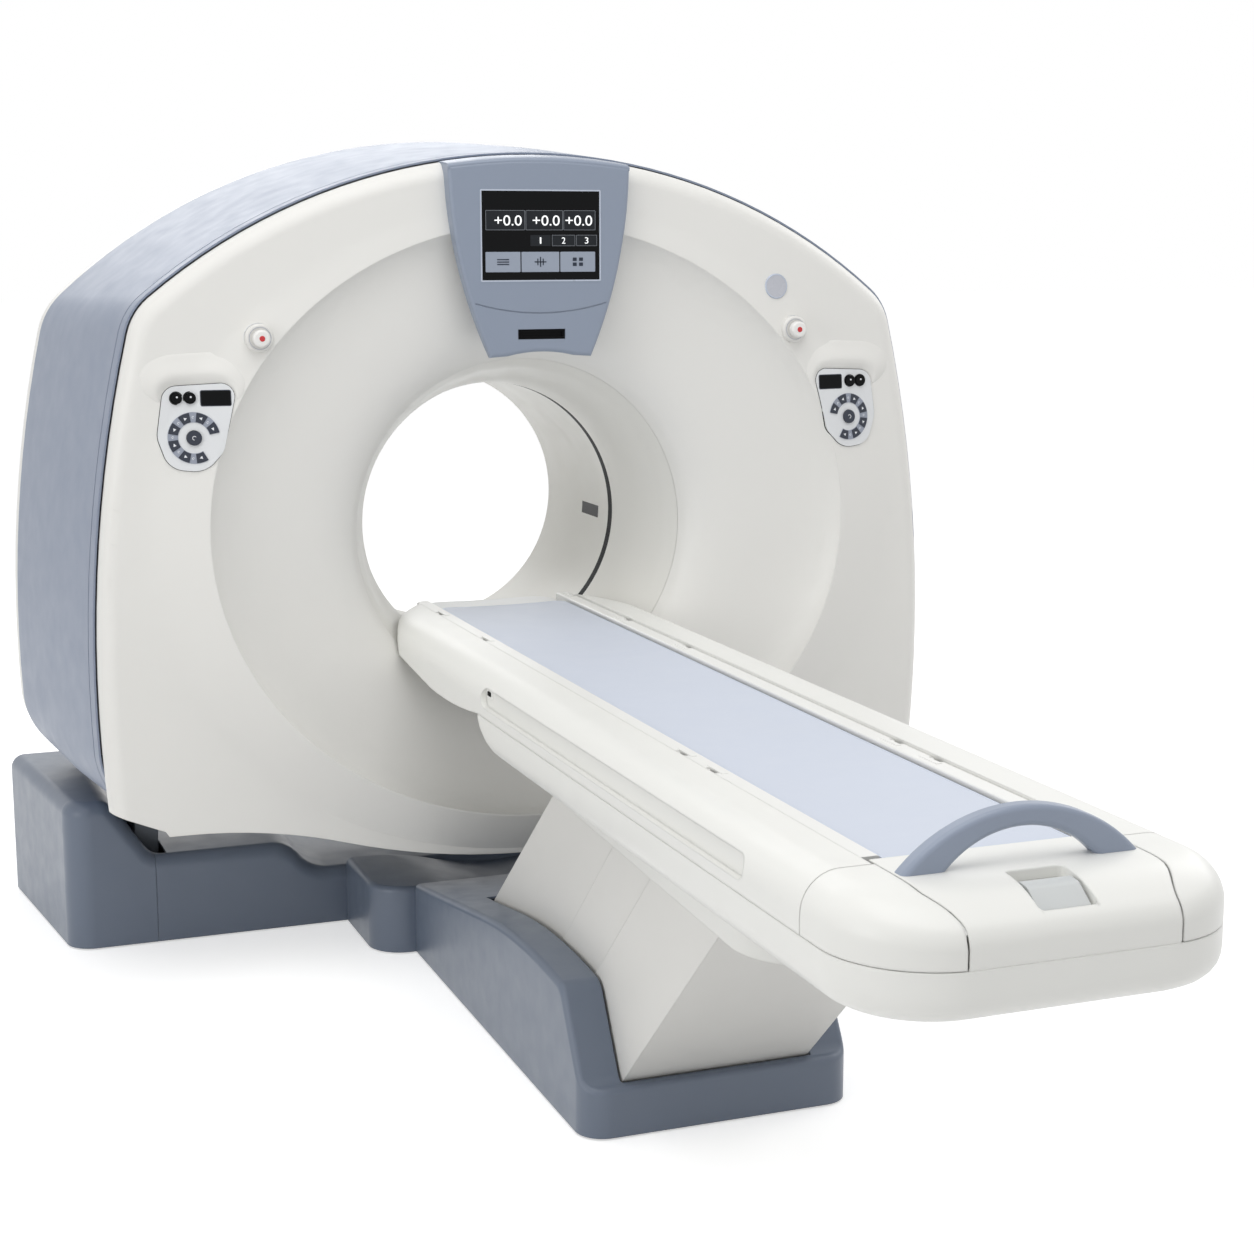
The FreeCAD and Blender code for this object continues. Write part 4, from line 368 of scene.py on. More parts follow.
def draped(name, outline, on, thick, finish, base=0.0, step=6.0, soft=None):
    """A thin plate of an XZ outline (mm) that lies on the curved skin of the parts below it."""
    bm = bmesh.new()
    loop = [bm.verts.new((x, 0, z)) for x, z in outline]
    bm.faces.new(loop)
    bmesh.ops.triangulate(bm, faces=bm.faces[:])
    low_x, high_x = min(p[0] for p in outline), max(p[0] for p in outline)
    low_z, high_z = min(p[1] for p in outline), max(p[1] for p in outline)
    for no, low, high in ((Vector((1, 0, 0)), low_x, high_x), (Vector((0, 0, 1)), low_z, high_z)):
        count = int((high - low) / step)
        for i in range(1, count + 1):
            at = low + (high - low) * i / (count + 1)
            bmesh.ops.bisect_plane(bm, geom=everything(bm), plane_co=no * at, plane_no=no)
    if bm.faces and sum(f.normal.y for f in bm.faces) > 0:
        bmesh.ops.reverse_faces(bm, faces=bm.faces[:])
    out = bmesh.ops.extrude_face_region(bm, geom=bm.faces[:])
    top = set(new_verts(out))
    for v in bm.verts:
        y = skin_y(on, v.co.x, v.co.z)
        if y is None:
            y = skin_y(on, (v.co.x + (low_x + high_x) / 2) / 2, (v.co.z + (low_z + high_z) / 2) / 2) or FACE_Y
        v.co.y = y - base - (thick if v in top else 0)
    bmesh.ops.recalc_face_normals(bm, faces=bm.faces[:])
    for v in bm.verts:
        v.co *= MM
    return new_object(name, mesh_from(bm, name), finish, shading=35, soft=soft)


def draped_grid(name, rows, on, thick, finish, base=0.0, closed=False, soft=None, dome=None, shading=35):
    """Rows of (x, z) points, skinned into a plate that follows the parts below; dome(i, j) adds height."""
    count, wide = len(rows), len(rows[0])
    verts = []
    for level in (0, 1):
        for i, row in enumerate(rows):
            for j, (x, z) in enumerate(row):
                y = skin_y(on, x, z)
                y = FACE_Y if y is None else y
                lift = thick * level + (dome(i, j) if dome and level else 0)
                verts.append((x, y - base - lift, z))
    size = count * wide
    faces = []
    for i in range(count if closed else count - 1):
        here, there = i * wide, (i + 1) % count * wide
        for j in range(wide - 1):
            a, d = here + j, there + j
            faces += [(a, a + 1, d + 1, d), (size + d, size + d + 1, size + a + 1, size + a)]
        for a, d in ((here, there), (there + wide - 1, here + wide - 1)):
            faces.append((a, d, size + d, size + a))
    if not closed:
        for a in [end + j for end in (0, size - wide) for j in range(wide - 1)]:
            faces.append((a, a + 1, size + a + 1, size + a))
    return new_object(name, outward(mesh_of(name, verts, faces)), finish, shading=shading, soft=soft)


def arc_rows(cx, cz, inner, outer, start, end, steps, across):
    """Points across a flat ring between two radii, row by row from one angle to another."""
    radii = [inner + (outer - inner) * j / across for j in range(across + 1)]
    angles = [math.radians(start + (end - start) * i / steps) for i in range(steps + 1)]
    return [[(cx + r * math.cos(a), cz + r * math.sin(a)) for r in radii] for a in angles]


def rounded(cx, cz, width, height, radius, steps=5):
    """The outline of a rectangle with rounded corners."""
    points = []
    for sx, sz, start in ((1, 1, 0), (-1, 1, 90), (-1, -1, 180), (1, -1, 270)):
        for i in range(steps + 1):
            a = math.radians(start + 90 * i / steps)
            points.append((cx + sx * (width / 2 - radius) + radius * math.cos(a),
                    cz + sz * (height / 2 - radius) + radius * math.sin(a)))
    return points


def lathe(name, profile, finish, centre, body="gantry", count=48, closed=False):
    """A turned piece: profile of (along Y, radius) in mm round an axis through centre."""
    verts, faces = [], []
    cx, cy, cz = centre
    for along, radius in profile:
        for i in range(count):
            a = 2 * math.pi * i / count
            verts.append((cx + radius * math.cos(a), cy + along, cz + radius * math.sin(a)))
    rows = len(profile)
    for r in range(rows if closed else rows - 1):
        for i in range(count):
            j = (i + 1) % count
            a, b = r * count, ((r + 1) % rows) * count
            faces.append((a + i, a + j, b + j, b + i))
    if not closed:
        faces.append(tuple(range(count)))
        faces.append(tuple(reversed(range((rows - 1) * count, rows * count))))
    return new_object(name, outward(mesh_of(name, verts, faces)), finish, body)


def block(name, low, high, finish, body, soft=1.0):
    """A small block between two corners (mm), its edges rounded."""
    (x0, y0, z0), (x1, y1, z1) = low, high
    verts = [(x, y, z) for z in (z0, z1) for x, y in ((x0, y0), (x1, y0), (x1, y1), (x0, y1))]
    faces = [(0, 3, 2, 1), (4, 5, 6, 7), (0, 1, 5, 4), (1, 2, 6, 5), (2, 3, 7, 6), (3, 0, 4, 7)]
    return new_object(name, mesh_of(name, verts, faces), finish, body, soft=soft)


PLACES = {"X": lambda a, b, t: (t, a, b), "Y": lambda a, b, t: (a, t, b), "Z": lambda a, b, t: (a, b, t)}


def prism(name, outline, axis, start, end, finish, body="gantry", soft=None):
    """An outline (mm) pushed along one axis: X takes (y, z), Y takes (x, z), Z takes (x, y)."""
    n = len(outline)
    place = PLACES[axis]
    verts = [place(a, b, t) for t in (start, end) for a, b in outline]
    faces = [tuple(range(n)), tuple(range(2 * n - 1, n - 1, -1))]
    faces += [(i, (i + 1) % n, (i + 1) % n + n, i + n) for i in range(n)]
    return new_object(name, outward(mesh_of(name, verts, faces)), finish, body, soft=soft)


# ---------------- console screen
SCREEN_Y = -471.0                       # the face of the display's glass
FIELD_Z, TAB_Z, KEY_Z = (1813.4, 1859.8), (1776, 1802), (1714.9, 1762.4)
VALUE_Z, TAB_NUMBER_Z = (1824, 1848), (1781.5, 1796.5)
FIELDS_X = ((-138.2, -40.4), (-38.3, 55.0), (57.0, 137.8))
TABS_X = ((-27, 24), (27.5, 86), (89, 141.8))
KEYS_X = ((-139.4, -52.6), (-49.7, 45.3), (48.3, 137.0))
KEY_MARKS = (((-15, -7, 15, -4.4), (-15, -1.3, 15, 1.3), (-15, 4.4, 15, 7)),
        ((-15, -1.3, 15, 1.3), (-1.3, -12, 1.3, 12), (-8, -8, -5.4, 8), (5.4, -8, 8, 8)),
        ((-13, 1.8, -3, 10), (3, 1.8, 13, 10), (-13, -10, -3, -1.8), (3, -10, 13, -1.8)))
KEY_MARK_Z = 1738.6


def rounded_box(x0, x1, z0, z1, radius):
    return rounded((x0 + x1) / 2, (z0 + z1) / 2, x1 - x0, z1 - z0, radius)


def screen_plate(name, x0, x1, z0, z1, thick, finish, radius=1.5):
    prism(name, rounded_box(x0, x1, z0, z1, radius), "Y", SCREEN_Y - thick, SCREEN_Y + 0.2, finish)


def frame_ring(name, x0, x1, z0, z1, width, y0, y1, finish, radius=1.5):
    """A rectangular frame with rounded corners, between two depths."""
    outer = rounded_box(x0, x1, z0, z1, radius)
    inner = rounded_box(x0 + width, x1 - width, z0 + width, z1 - width, max(0.4, radius - width))
    n = len(outer)
    verts = [(x, y, z) for y in (y0, y1) for ring in (outer, inner) for x, z in ring]
    faces = []
    for i in range(n):
        j = (i + 1) % n
        faces += [(i, j, n + j, n + i), (2 * n + i, 3 * n + i, 3 * n + j, 2 * n + j),
                (i, 2 * n + i, 2 * n + j, j), (n + i, n + j, 3 * n + j, 3 * n + i)]
    new_object(name, outward(mesh_of(name, verts, faces)), finish)


def lit(name, colour, glow):
    """A finish that gives a little light of its own."""
    f = Finish(name, colour, rough=0.35, grain=0.01, level=0.15)
    f.fill(f.shader, {"Emission Color": srgb(*colour), "Emission Strength": glow})
    return f


rim_silver = Finish("rim_silver", (188, 196, 210), rough=0.3, mottle=0.02, metal=0.3)
screen_box = lit("screen_box", (34, 37, 41), 0.02)
screen_line = lit("screen_line", (120, 124, 130), 0.25)
screen_text = lit("screen_text", (238, 240, 240), 0.55)
screen_key = lit("screen_key", (150, 158, 172), 0.08)
screen_mark = lit("screen_mark", (52, 58, 70), 0.0)

frame_ring("screen_rim", -151.5, 151.5, 1692.5, 1908.5, 3.4, -473.0, -470.5, rim_silver, radius=3.0)


def screen_number(name, text, left, right, low, high):
    """Raised figures that fill a box of the screen."""
    curve = bpy.data.curves.new(name + "_curve", "FONT")
    curve.body = text
    temp = bpy.data.objects.new(name + "_temp", curve)
    scene.collection.objects.link(temp)
    bpy.context.view_layer.update()
    mesh = bpy.data.meshes.new_from_object(temp.evaluated_get(bpy.context.evaluated_depsgraph_get()))
    bpy.data.objects.remove(temp)
    bpy.data.curves.remove(curve)
    x0, x1 = min(v.co.x for v in mesh.vertices), max(v.co.x for v in mesh.vertices)
    y0, y1 = min(v.co.y for v in mesh.vertices), max(v.co.y for v in mesh.vertices)
    for v in mesh.vertices:
        v.co = Vector((left + (v.co.x - x0) / (x1 - x0) * (right - left), SCREEN_Y - 0.8,
                low + (v.co.y - y0) / (y1 - y0) * (high - low))) * MM
    bm = bmesh.new()
    bm.from_mesh(mesh)
    out = bmesh.ops.extrude_face_region(bm, geom=bm.faces[:])
    for v in new_verts(out):
        v.co.y += 0.7 * MM
    bmesh.ops.recalc_face_normals(bm, faces=bm.faces[:])
    bm.to_mesh(mesh)
    bm.free()
    new_object(name, mesh, screen_text)


def screen_outline(name, x0, x1, z0, z1, width):
    frame_ring(name, x0, x1, z0, z1, width, SCREEN_Y - 0.9, SCREEN_Y - 0.3, screen_line)


for i, (x0, x1) in enumerate(FIELDS_X, 1):
    screen_plate("screen_field_%d" % i, x0, x1, *FIELD_Z, 0.5, screen_box)
    screen_outline("screen_field_line_%d" % i, x0, x1, *FIELD_Z, 0.9)
    screen_number("screen_value_%d" % i, "+0.0", x1 - 76, x1 - 8, *VALUE_Z)
for i, (x0, x1) in enumerate(TABS_X, 1):
    screen_plate("screen_tab_%d" % i, x0, x1, *TAB_Z, 0.5, screen_box)
    if i > 1:
        screen_outline("screen_tab_line_%d" % i, x0, x1, *TAB_Z, 0.8)
    middle = (x0 + x1) / 2
    half = 1.9 if i == 1 else 4.5
    screen_number("screen_tab_number_%d" % i, str(i), middle - half, middle + half, *TAB_NUMBER_Z)
for i, ((x0, x1), bars) in enumerate(zip(KEYS_X, KEY_MARKS), 1):
    screen_plate("screen_key_%d" % i, x0, x1, *KEY_Z, 1.0, screen_key, radius=2.0)
    middle = (x0 + x1) / 2
    for j, (a, b, c, d) in enumerate(bars, 1):
        outline = rounded(middle + (a + c) / 2, KEY_MARK_Z + (b + d) / 2, c - a, d - b, 0.8, steps=3)
        prism("screen_key_mark_%d_%d" % (i, j), outline, "Y", SCREEN_Y - 1.5, SCREEN_Y - 0.8, screen_mark)


# ---------------- control panels
def triangle(cx, cz, size, angle):
    a = math.radians(angle)
    return [(cx + size * math.cos(a + t), cz + size * math.sin(a + t)) for t in (0, 2.2, -2.2)]


PANEL_X, PANEL_Z = 838.0, 1343.0        # the centre of the ring of keys, on the right
KEY_RADIUS, KEY_PITCH, KEY_HALF = 47.3, 43.7, 13.5      # mm, and degrees
DISPLAY_IN, DISPLAY_UP = 53, 90
SIDES = (("left", -1), ("right", 1))
for word, side in SIDES:
    cx = side * PANEL_X
    on = ["panel_" + word, "front_cover"]

    def angle(a):
        return a if side < 0 else 180 - a

    def on_ring(a):
        a = math.radians(angle(a))
        return cx + KEY_RADIUS * math.cos(a), PANEL_Z + KEY_RADIUS * math.sin(a)

    def ring(name, inner, outer, a0, a1, lift, thick, finish, steps=6, soft=None):
        a0, a1 = sorted((angle(a0), angle(a1)))
        rows = arc_rows(cx, PANEL_Z, inner, outer, a0, a1, steps, 3)
        return draped_grid(name, rows, on, thick, finish, base=lift, soft=soft)

    band = ring("keypad_band_" + word, 35.5, 59.0, 12, 301, -0.3, 1.5, key_steel, steps=64)
    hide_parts("keypad_" + word)
    for i in range(7):
        mid = 25 + KEY_PITCH * i
        tag = "%s_%d" % (word, i + 1)
        ring("key_" + tag, 36.4, 58.2, mid - KEY_HALF, mid + KEY_HALF, 0.9, 1.7, key_navy, soft=0.7)
        points = triangle(*on_ring(mid), 4.4, angle(mid) + (90 if i % 2 else -90))
        draped("key_mark_" + tag, points, on, 0.3, mark_white, base=2.55, step=50)
        if i < 6:
            rows = arc_rows(*on_ring(mid + KEY_PITCH / 2), 1.7, 2.8, 0, 300, 12, 1)
            draped_grid("band_mark_" + tag, rows, on, 0.25, mark_white, base=1.2)
    dx, dz = side * (PANEL_X - DISPLAY_IN), PANEL_Z + DISPLAY_UP
    draped("display_frame_" + word, rounded(dx, dz, 70, 37, 4.5), on, 0.9, key_navy, base=-0.3, step=12, soft=0.3)
    draped("display_glass_" + word, rounded(dx, dz, 66, 33, 3), on, 0.6, gloss_black, base=0.5, step=12)
    # the light buttons' printed dots and the centre button's ring
    for number in (1, 2):
        tag = "%s_%d" % (word, number)
        name = "light_button_" + tag
        bx, bz, by = front_of(name)
        lathe("button_dot_" + tag, [(0.2, 2.2), (-0.35, 2.2), (-0.5, 1.7)], mark_white,
              (bx + 1.5, skin_y([name], bx + 1.5, bz + 2.5), bz + 2.5), name + "_body", count=20)
        lathe("button_collar_" + tag, [(1.5, 13.7), (-1.2, 13.7), (-1.2, 15.4), (1.5, 15.8)], seal_black,
              (bx, skin_y(["panel_" + word], bx - 16.5, bz) or by, bz), count=40, closed=True)
    name = "centre_button_" + word
    lathe("centre_ring_" + word, [(0.3, 3.6), (-0.4, 3.6), (-0.4, 5.0), (0.3, 5.0)], mark_white,
          (cx, skin_y([name], cx, PANEL_Z), PANEL_Z), name + "_body", count=32, closed=True)
    # emergency stop: red dot, a grey ring round the head as painted shade of the groove there, and a dark seating
    # ring
    ex, ez, ey = front_of("estop_button_" + word)
    lathe("estop_dot_" + word, [(0.4, 6.6), (-0.5, 6.6), (-0.9, 5.9), (-1.1, 4.0)], red_lens,
          (ex, ey, ez), "estop_button_%s_body" % word, count=36)
    # darker grey ring: painted shade of the gap round the head
    lathe("estop_groove_shade_" + word, [(1.0, 24.6), (-0.8, 24.6), (-0.8, 26.2), (1.0, 26.2)], plug_grey,
          (ex, -458.0, ez), count=56, closed=True)
    lathe("estop_seat_" + word, [(2.0, 32.6), (-1.0, 33.4), (-1.0, 34.6), (4.0, 35.6), (14, 35.6), (14, 32.6)],
          panel_grey, (ex, skin_y(["front_cover"], ex, ez + 44) - 1.5, ez), count=56, closed=True)


PANEL_LINE = [(734, 1468), (902, 1460), (920, 1345), (896, 1272), (816, 1264), (772, 1310)]     # x, z
PANEL_ROUND = [30, 34, 60, 50, 60, 50]
STEPS = 9                               # facets of one rounded corner
BROW_LOW, BROW_RISE = 1420, 34          # z where the hood starts, and over which it comes up
BROW_GROW = [1.6, 4, 8, 12, 16, 20, 24, 28, 33, 40, 50, 62, 76]
BROW_HEIGHT = [-0.6, 0.6, 2.6, 5.0, 7.0, 8.4, 9.2, 9.4, 8.8, 7.3, 4.6, 1.8, -0.6]


def corner_arcs(side):
    """For each corner of the panel: the centre of its rounding, its radius and the directions round it."""
    points = [Vector((side * x, z)) for x, z in PANEL_LINE]
    arcs = []
    for i, radius in enumerate(PANEL_ROUND):
        here = points[i]
        to_before = (points[i - 1] - here).normalized()
        to_after = (points[(i + 1) % len(points)] - here).normalized()
        middle = (to_before + to_after).normalized()
        centre = here + middle * (radius / math.sin(middle.angle(to_after)))
        first = (here + to_before * (centre - here).dot(to_before) - centre).normalized()
        last = (here + to_after * (centre - here).dot(to_after) - centre).normalized()
        whole = first.angle(last)
        fan = [(first * math.sin(whole * (1 - k / STEPS)) + last * math.sin(whole * k / STEPS)) / math.sin(whole)
               for k in range(STEPS + 1)]
        arcs.append((centre, radius, fan))
    return arcs


def soft_outline(side, grow):
    """The panel's outline with its corners rounded, set outwards by grow."""
    arcs = corner_arcs(side)
    out = []
    for i, (centre, radius, fan) in enumerate(arcs):
        out += [centre + d * (radius + grow) for d in fan]
        c2, r2, fan2 = arcs[(i + 1) % len(arcs)]
        start, end = out[-1], c2 + fan2[0] * (r2 + grow)
        out += [start.lerp(end, k / 7) for k in range(1, 7)]
    return out


for word, side in SIDES:
    # the panel's plate with its generous corners
    bm = bmesh.new()
    bm.from_mesh(nodes["panel_" + word].data)
    bmesh.ops.remove_doubles(bm, verts=bm.verts[:], dist=0.00001)
    for centre, radius, fan in corner_arcs(side):
        for d in fan[1:-1]:
            at, no = centre + d * radius, Vector((d.x, 0, d.y))
            cut = bmesh.ops.bisect_plane(bm, geom=everything(bm), dist=0.000001, clear_outer=True,
                    plane_co=Vector((at.x, 0, at.y)) * MM, plane_no=no)
            edges = [e for e in cut["geom_cut"] if isinstance(e, bmesh.types.BMEdge) and e.is_boundary]
            if edges:
                bmesh.ops.holes_fill(bm, edges=edges, sides=0)
    bmesh.ops.recalc_face_normals(bm, faces=bm.faces[:])
    plate = new_object("panel_plate_" + word, mesh_from(bm, "panel_plate_" + word), panel_grey)
    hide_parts("panel_" + word)
    seam = list(zip(soft_outline(side, -0.4), soft_outline(side, 1.4)))
    draped_grid("panel_seam_" + word, seam, ["front_cover"], 0.5, seal_black, closed=True)
    # the cover leans out over the top of the panel, so that the panel lies in a shallow bowl
    rims = [soft_outline(side, grow) for grow in BROW_GROW]
    inside = [i for i, p in enumerate(rims[0]) if p[1] > BROW_LOW]
    gap = next((k for k in range(1, len(inside)) if inside[k] - inside[k - 1] > 1), 0)
    inside = inside[gap:] + inside[:gap]
    share = []
    for i in inside:
        near = ease((abs(rims[0][i][0]) - 726) / 70)
        share.append(ease((rims[0][i][1] - BROW_LOW) / BROW_RISE) * (0.3 + 0.7 * near))
    rows = [[rims[0][i].lerp(rim[i], 0.12 + 0.88 * share[k]) for rim in rims] for k, i in enumerate(inside)]

    def brow(i, j):
        return (BROW_HEIGHT[j] + 0.6) * share[i] + 0.3

    draped_grid("panel_brow_" + word, rows, ["front_cover"], 0.3, cover_white, base=-1.2, dome=brow, shading=70)

px, pz = front_of("round_plug")[:2]
draped_grid("plug_rim", arc_rows(px, pz, 27.5, 31.5, 0, 352.5, 47, 2), ["round_plug", "front_cover"], 0.7,
        rim_silver, base=-0.2, closed=True)

# the console runs back over the cover's top edge to the side band
housing = nodes["console_housing"].data
top_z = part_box("console_housing")[1].z / MM
reach = max(abs(v.co.x) for v in housing.vertices if v.co.z / MM > top_z - 60) / MM - 0.6
OVERHEAD = 2400
profiles = []
for k in range(33):
    x = -reach + 2 * reach * k / 32
    hit = first_hit("console_housing", (x * 0.985, -456, OVERHEAD), (0, 0, -1))
    z_c = top_z - 12 if hit is None else hit.z
    z_f = first_hit("front_cover", (x, -388, OVERHEAD), (0, 0, -1)).z
    climb = z_f - z_c
    profiles.append([(x, y, z) for y, z in (
        (-470.4, z_c - 9), (-471.0, z_c - 1.5), (-468.5, z_c + climb * 0.24), (-463, z_c + climb * 0.46),
        (-455, z_c + climb * 0.66), (-444, z_c + climb * 0.84), (-431, z_f - 0.6), (-416, z_f + 1.4),
        (-400, z_f + 2.0), (-387, z_f + 2.0), (-385.2, z_f + 1.0), (-385.2, z_f - 5), (-425, z_f - 16),
        (-440, z_c - 12))])
count, wide = len(profiles), len(profiles[0])
faces = [tuple(range(wide)), tuple(reversed(range((count - 1) * wide, count * wide)))]
for i in range(count - 1):
    for j in range(wide):
        a, b = i * wide + j, i * wide + (j + 1) % wide
        faces.append((a, b, b + wide, a + wide))
mesh = mesh_of("console_bridge", [p for row in profiles for p in row], faces)
new_object("console_bridge", outward(mesh), console_blue, shading=40, soft=1.5)


# ---------------- the mat: a thin vinyl-covered foam pad
mat_vinyl = Finish("mat_vinyl", (203, 210, 224), rough=0.5, mottle=0.018, grain=0.22, grain_size=620,
        sheen=0.15)
mat_low, mat_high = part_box("mat")
MAT_HALF = mat_high.x / MM
MAT_FOOT, MAT_HEAD = mat_low.y / MM, mat_high.y / MM
MAT_TOP = mat_high.z / MM
# a darker blue band along each edge of the mat: painted shade of the gap between mat and rails
for edge in (-MAT_HALF, MAT_HALF):
    mat_vinyl.recolour(mat_vinyl.over_x(edge - 4.5, edge + 4.5, 0.3), (122, 131, 150))
MAT_CORNER, MAT_ROUND, MAT_HOLLOW, MAT_SKIRT = 38.0, 3.6, 4.0, 11.2
PIPING_IN, PIPING_DEPTH, PIPING_WIDTH = 9.0, 0.9, 0.8
MAT_BORDER = 24


def mat_piece():
    """The pad's skin: a shallow hollow, rounded edges with a stitched line, and a faint unevenness."""
    near = [0, 0.6, 1.8, 3.6, 6.0, 8.0, 9.0, 10.0, 12.0, 17.0]
    length = MAT_HEAD - MAT_FOOT
    rows = near + [30 + (length - 60) * i / 150 for i in range(151)] + [length - d for d in reversed(near)]
    shares = [i / 20 for i in range(21)]
    verts, faces = [], []
    for s in rows:
        y = MAT_HEAD - s
        half = MAT_HALF
        if s < MAT_CORNER:
            half += math.sqrt(max(0.0, MAT_CORNER ** 2 - (MAT_CORNER - s) ** 2)) - MAT_CORNER
        inner = half - MAT_BORDER
        line = [(-half + d, d) for d in near] + [(-inner + 2 * inner * t, MAT_BORDER) for t in shares]
        line += [(half - d, d) for d in reversed(near)]
        columns = len(line)
        end = min(s, length - s)
        for x, side in line:
            d = min(side, end)
            round_off = MAT_ROUND * (1 - math.sqrt(max(0.0, 1 - (1 - min(d, MAT_ROUND) / MAT_ROUND) ** 2)))
            seam = PIPING_DEPTH * math.exp(-((d - PIPING_IN) / PIPING_WIDTH) ** 2)
            z = MAT_TOP - MAT_HOLLOW + MAT_HOLLOW * (x / MAT_HALF) ** 2 - round_off - seam
            z += 0.25 * math.sin(y * 0.021 + 1.3 * math.sin(x * 0.02)) * min(1, d / MAT_BORDER)
            verts.append((x, y, z))
    count = len(rows)
    for r in range(count - 1):
        for c in range(columns - 1):
            a = r * columns + c
            faces.append((a, a + columns, a + columns + 1, a + 1))
    base = len(verts)
    rim = list(range(columns)) + [r * columns + columns - 1 for r in range(1, count)]
    rim += [(count - 1) * columns + c for c in range(columns - 2, -1, -1)]
    rim += [r * columns for r in range(count - 2, 0, -1)]
    for i in rim:
        x, y, z = verts[i]
        verts.append((x, y, MAT_TOP - MAT_HOLLOW - MAT_SKIRT + MAT_HOLLOW * (x / MAT_HALF) ** 2))
    n = len(rim)
    for i in range(n):
        j = (i + 1) % n
        faces.append((rim[i], rim[j], base + j, base + i))
    faces.append(tuple(base + i for i in range(n - 1, -1, -1)))
    bm = bmesh.new()
    bv = [bm.verts.new(Vector(v) * MM) for v in verts]
    for f in faces:
        bm.faces.new([bv[i] for i in f])
    bmesh.ops.triangulate(bm, faces=[f for f in bm.faces if len(f.verts) > 4])
    bmesh.ops.recalc_face_normals(bm, faces=bm.faces[:])
    return new_object("mat_pad", mesh_from(bm, "mat_pad"), mat_vinyl, "table", shading=50)


pad = mat_piece()
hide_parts("mat")


# ---------------- strap slots and catches along the rails
rail_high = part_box("table_rails")[1]
RAIL_TOP, RAIL_X = rail_high.z / MM, rail_high.x / MM
STRAPS = {"left": (-256, -634, -1863, -2004), "right": (-93, -502, -891, -1921, -2074)}


def side_block(name, side, face, x_in, x_out, y0, y1, z0, z1, finish, body, soft):
    """A block between two depths in from a face that both sides have."""
    x0, x1 = sorted((side * (face - x_in), side * (face - x_out)))
    block(name, (x0, y0, z0), (x1, y1, z1), finish, body, soft=soft)


for word, side in SIDES:
    for i, y in enumerate(STRAPS[word], 1):
        tag = "%s_%d" % (word, i)
        # a black block in each strap notch: painted shade of the hole's depth
        side_block("strap_slot_shade_" + tag, side, RAIL_X, 11.2, 1.0, y - 12, y + 12, RAIL_TOP - 14.2,
                RAIL_TOP - 4.6, slot_black, "table", 0.4)
        for end, middle in (("a", y - 17.7), ("b", y + 17.7)):
            side_block("strap_tab_%s_%s" % (tag, end), side, RAIL_X, 11.2, 1.0, middle - 4.7, middle + 4.7,
                    RAIL_TOP - 14.2, RAIL_TOP - 1.6, rail_white, "table", 1.6)
        # a low lead-in moulded on the rail beside each slot
        side_block("strap_lead_" + tag, side, RAIL_X, 24, 12.6, y - 34, y + 34, RAIL_TOP - 0.6,
                RAIL_TOP + 1.6, rail_white, "table", 0.8)
couch_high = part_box("couch_shell")[1]
COUCH_X = couch_high.x / MM
for word, side in SIDES:
    side_block("groove_catch_" + word, side, COUCH_X, 15, 9, -1066, -1046, 817, 827, slot_black,
            "couch_upper", 1.5)
    side_block("groove_catch_plate_" + word, side, COUCH_X, 18, 11.5, -1078, -1034, 813, 831, rail_white,
            "couch_upper", 1.5)


# ---------------- the couch's foot: soft moulded covers
HALF, END, CORNER = COUCH_X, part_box("end_cap")[0].y / MM, 170.0
TOP = couch_high.z / MM
SEAM_Z = 768.0                          # between the covers and the lower band
CENTRE_X, CENTRE_Y = HALF - CORNER, END + CORNER
SIDE_ROUND = 65                         # radius of the covers' side edges
SLOPE_LONG, SLOPE_DROP, SLOPE_POWER = 140, 48, 2.32
NOSE_LONG, NOSE_DROP = 16, 20
SEAM_GAP = 2.6                          # how far the cap stays back from its seams


def foot_top(x, y):
    """Height of the foot's upper skin over a plan point, from its distance to the plan outline."""
    ax = abs(x)
    if ax > CENTRE_X and y < CENTRE_Y:
        d = CORNER - math.hypot(ax - CENTRE_X, CENTRE_Y - y)
        w = ease(math.atan2(CENTRE_Y - y, ax - CENTRE_X) / (math.pi / 2))
    elif y < CENTRE_Y:
        d, w = y - END, 1.0
    else:
        d, w = HALF - ax, 0.0
    d = max(0.0, d)
    side = TOP
    if d < SIDE_ROUND:
        side += math.sqrt(SIDE_ROUND ** 2 - (SIDE_ROUND - d) ** 2) - SIDE_ROUND
    front = TOP - SLOPE_DROP * (max(0.0, SLOPE_LONG - d) / SLOPE_LONG) ** SLOPE_POWER
    if d < NOSE_LONG:
        front -= NOSE_DROP * (1 - math.sqrt(max(0.0, 1 - (1 - d / NOSE_LONG) ** 2)))
    return side * (1 - w) + front * w


def seam_x(y):
    """Where the seam between the cap and a cover runs."""
    return 211.6 - 30 * ease((-y - 2770) / 96)


def skin_up(bm, mesh, up=1):
    """Writes the skin back with its faces turned up, or down where up is -1."""
    bmesh.ops.recalc_face_normals(bm, faces=bm.faces[:])
    if sum(f.normal.z * f.calc_area() for f in bm.faces) * up < 0:
        bmesh.ops.reverse_faces(bm, faces=bm.faces[:])
    bm.to_mesh(mesh)
    bm.free()


def skin_piece(name, rows, thick=4.0, bevel=0.9, up=1):
    """Rows of points skinned and given a wall on the inside, on the couch's upper body."""
    mesh = mesh_of(name, [p for row in rows for p in row], grid_faces(len(rows), len(rows[0])))
    bm = bmesh.new()
    bm.from_mesh(mesh)
    bmesh.ops.remove_doubles(bm, verts=bm.verts[:], dist=0.00004)
    bmesh.ops.dissolve_degenerate(bm, edges=bm.edges[:], dist=0.00002)
    skin_up(bm, mesh, up)
    return new_object(name, mesh, couch_white, "couch_upper", shading=40, soft=bevel, wall=thick, bevel_angle=50)


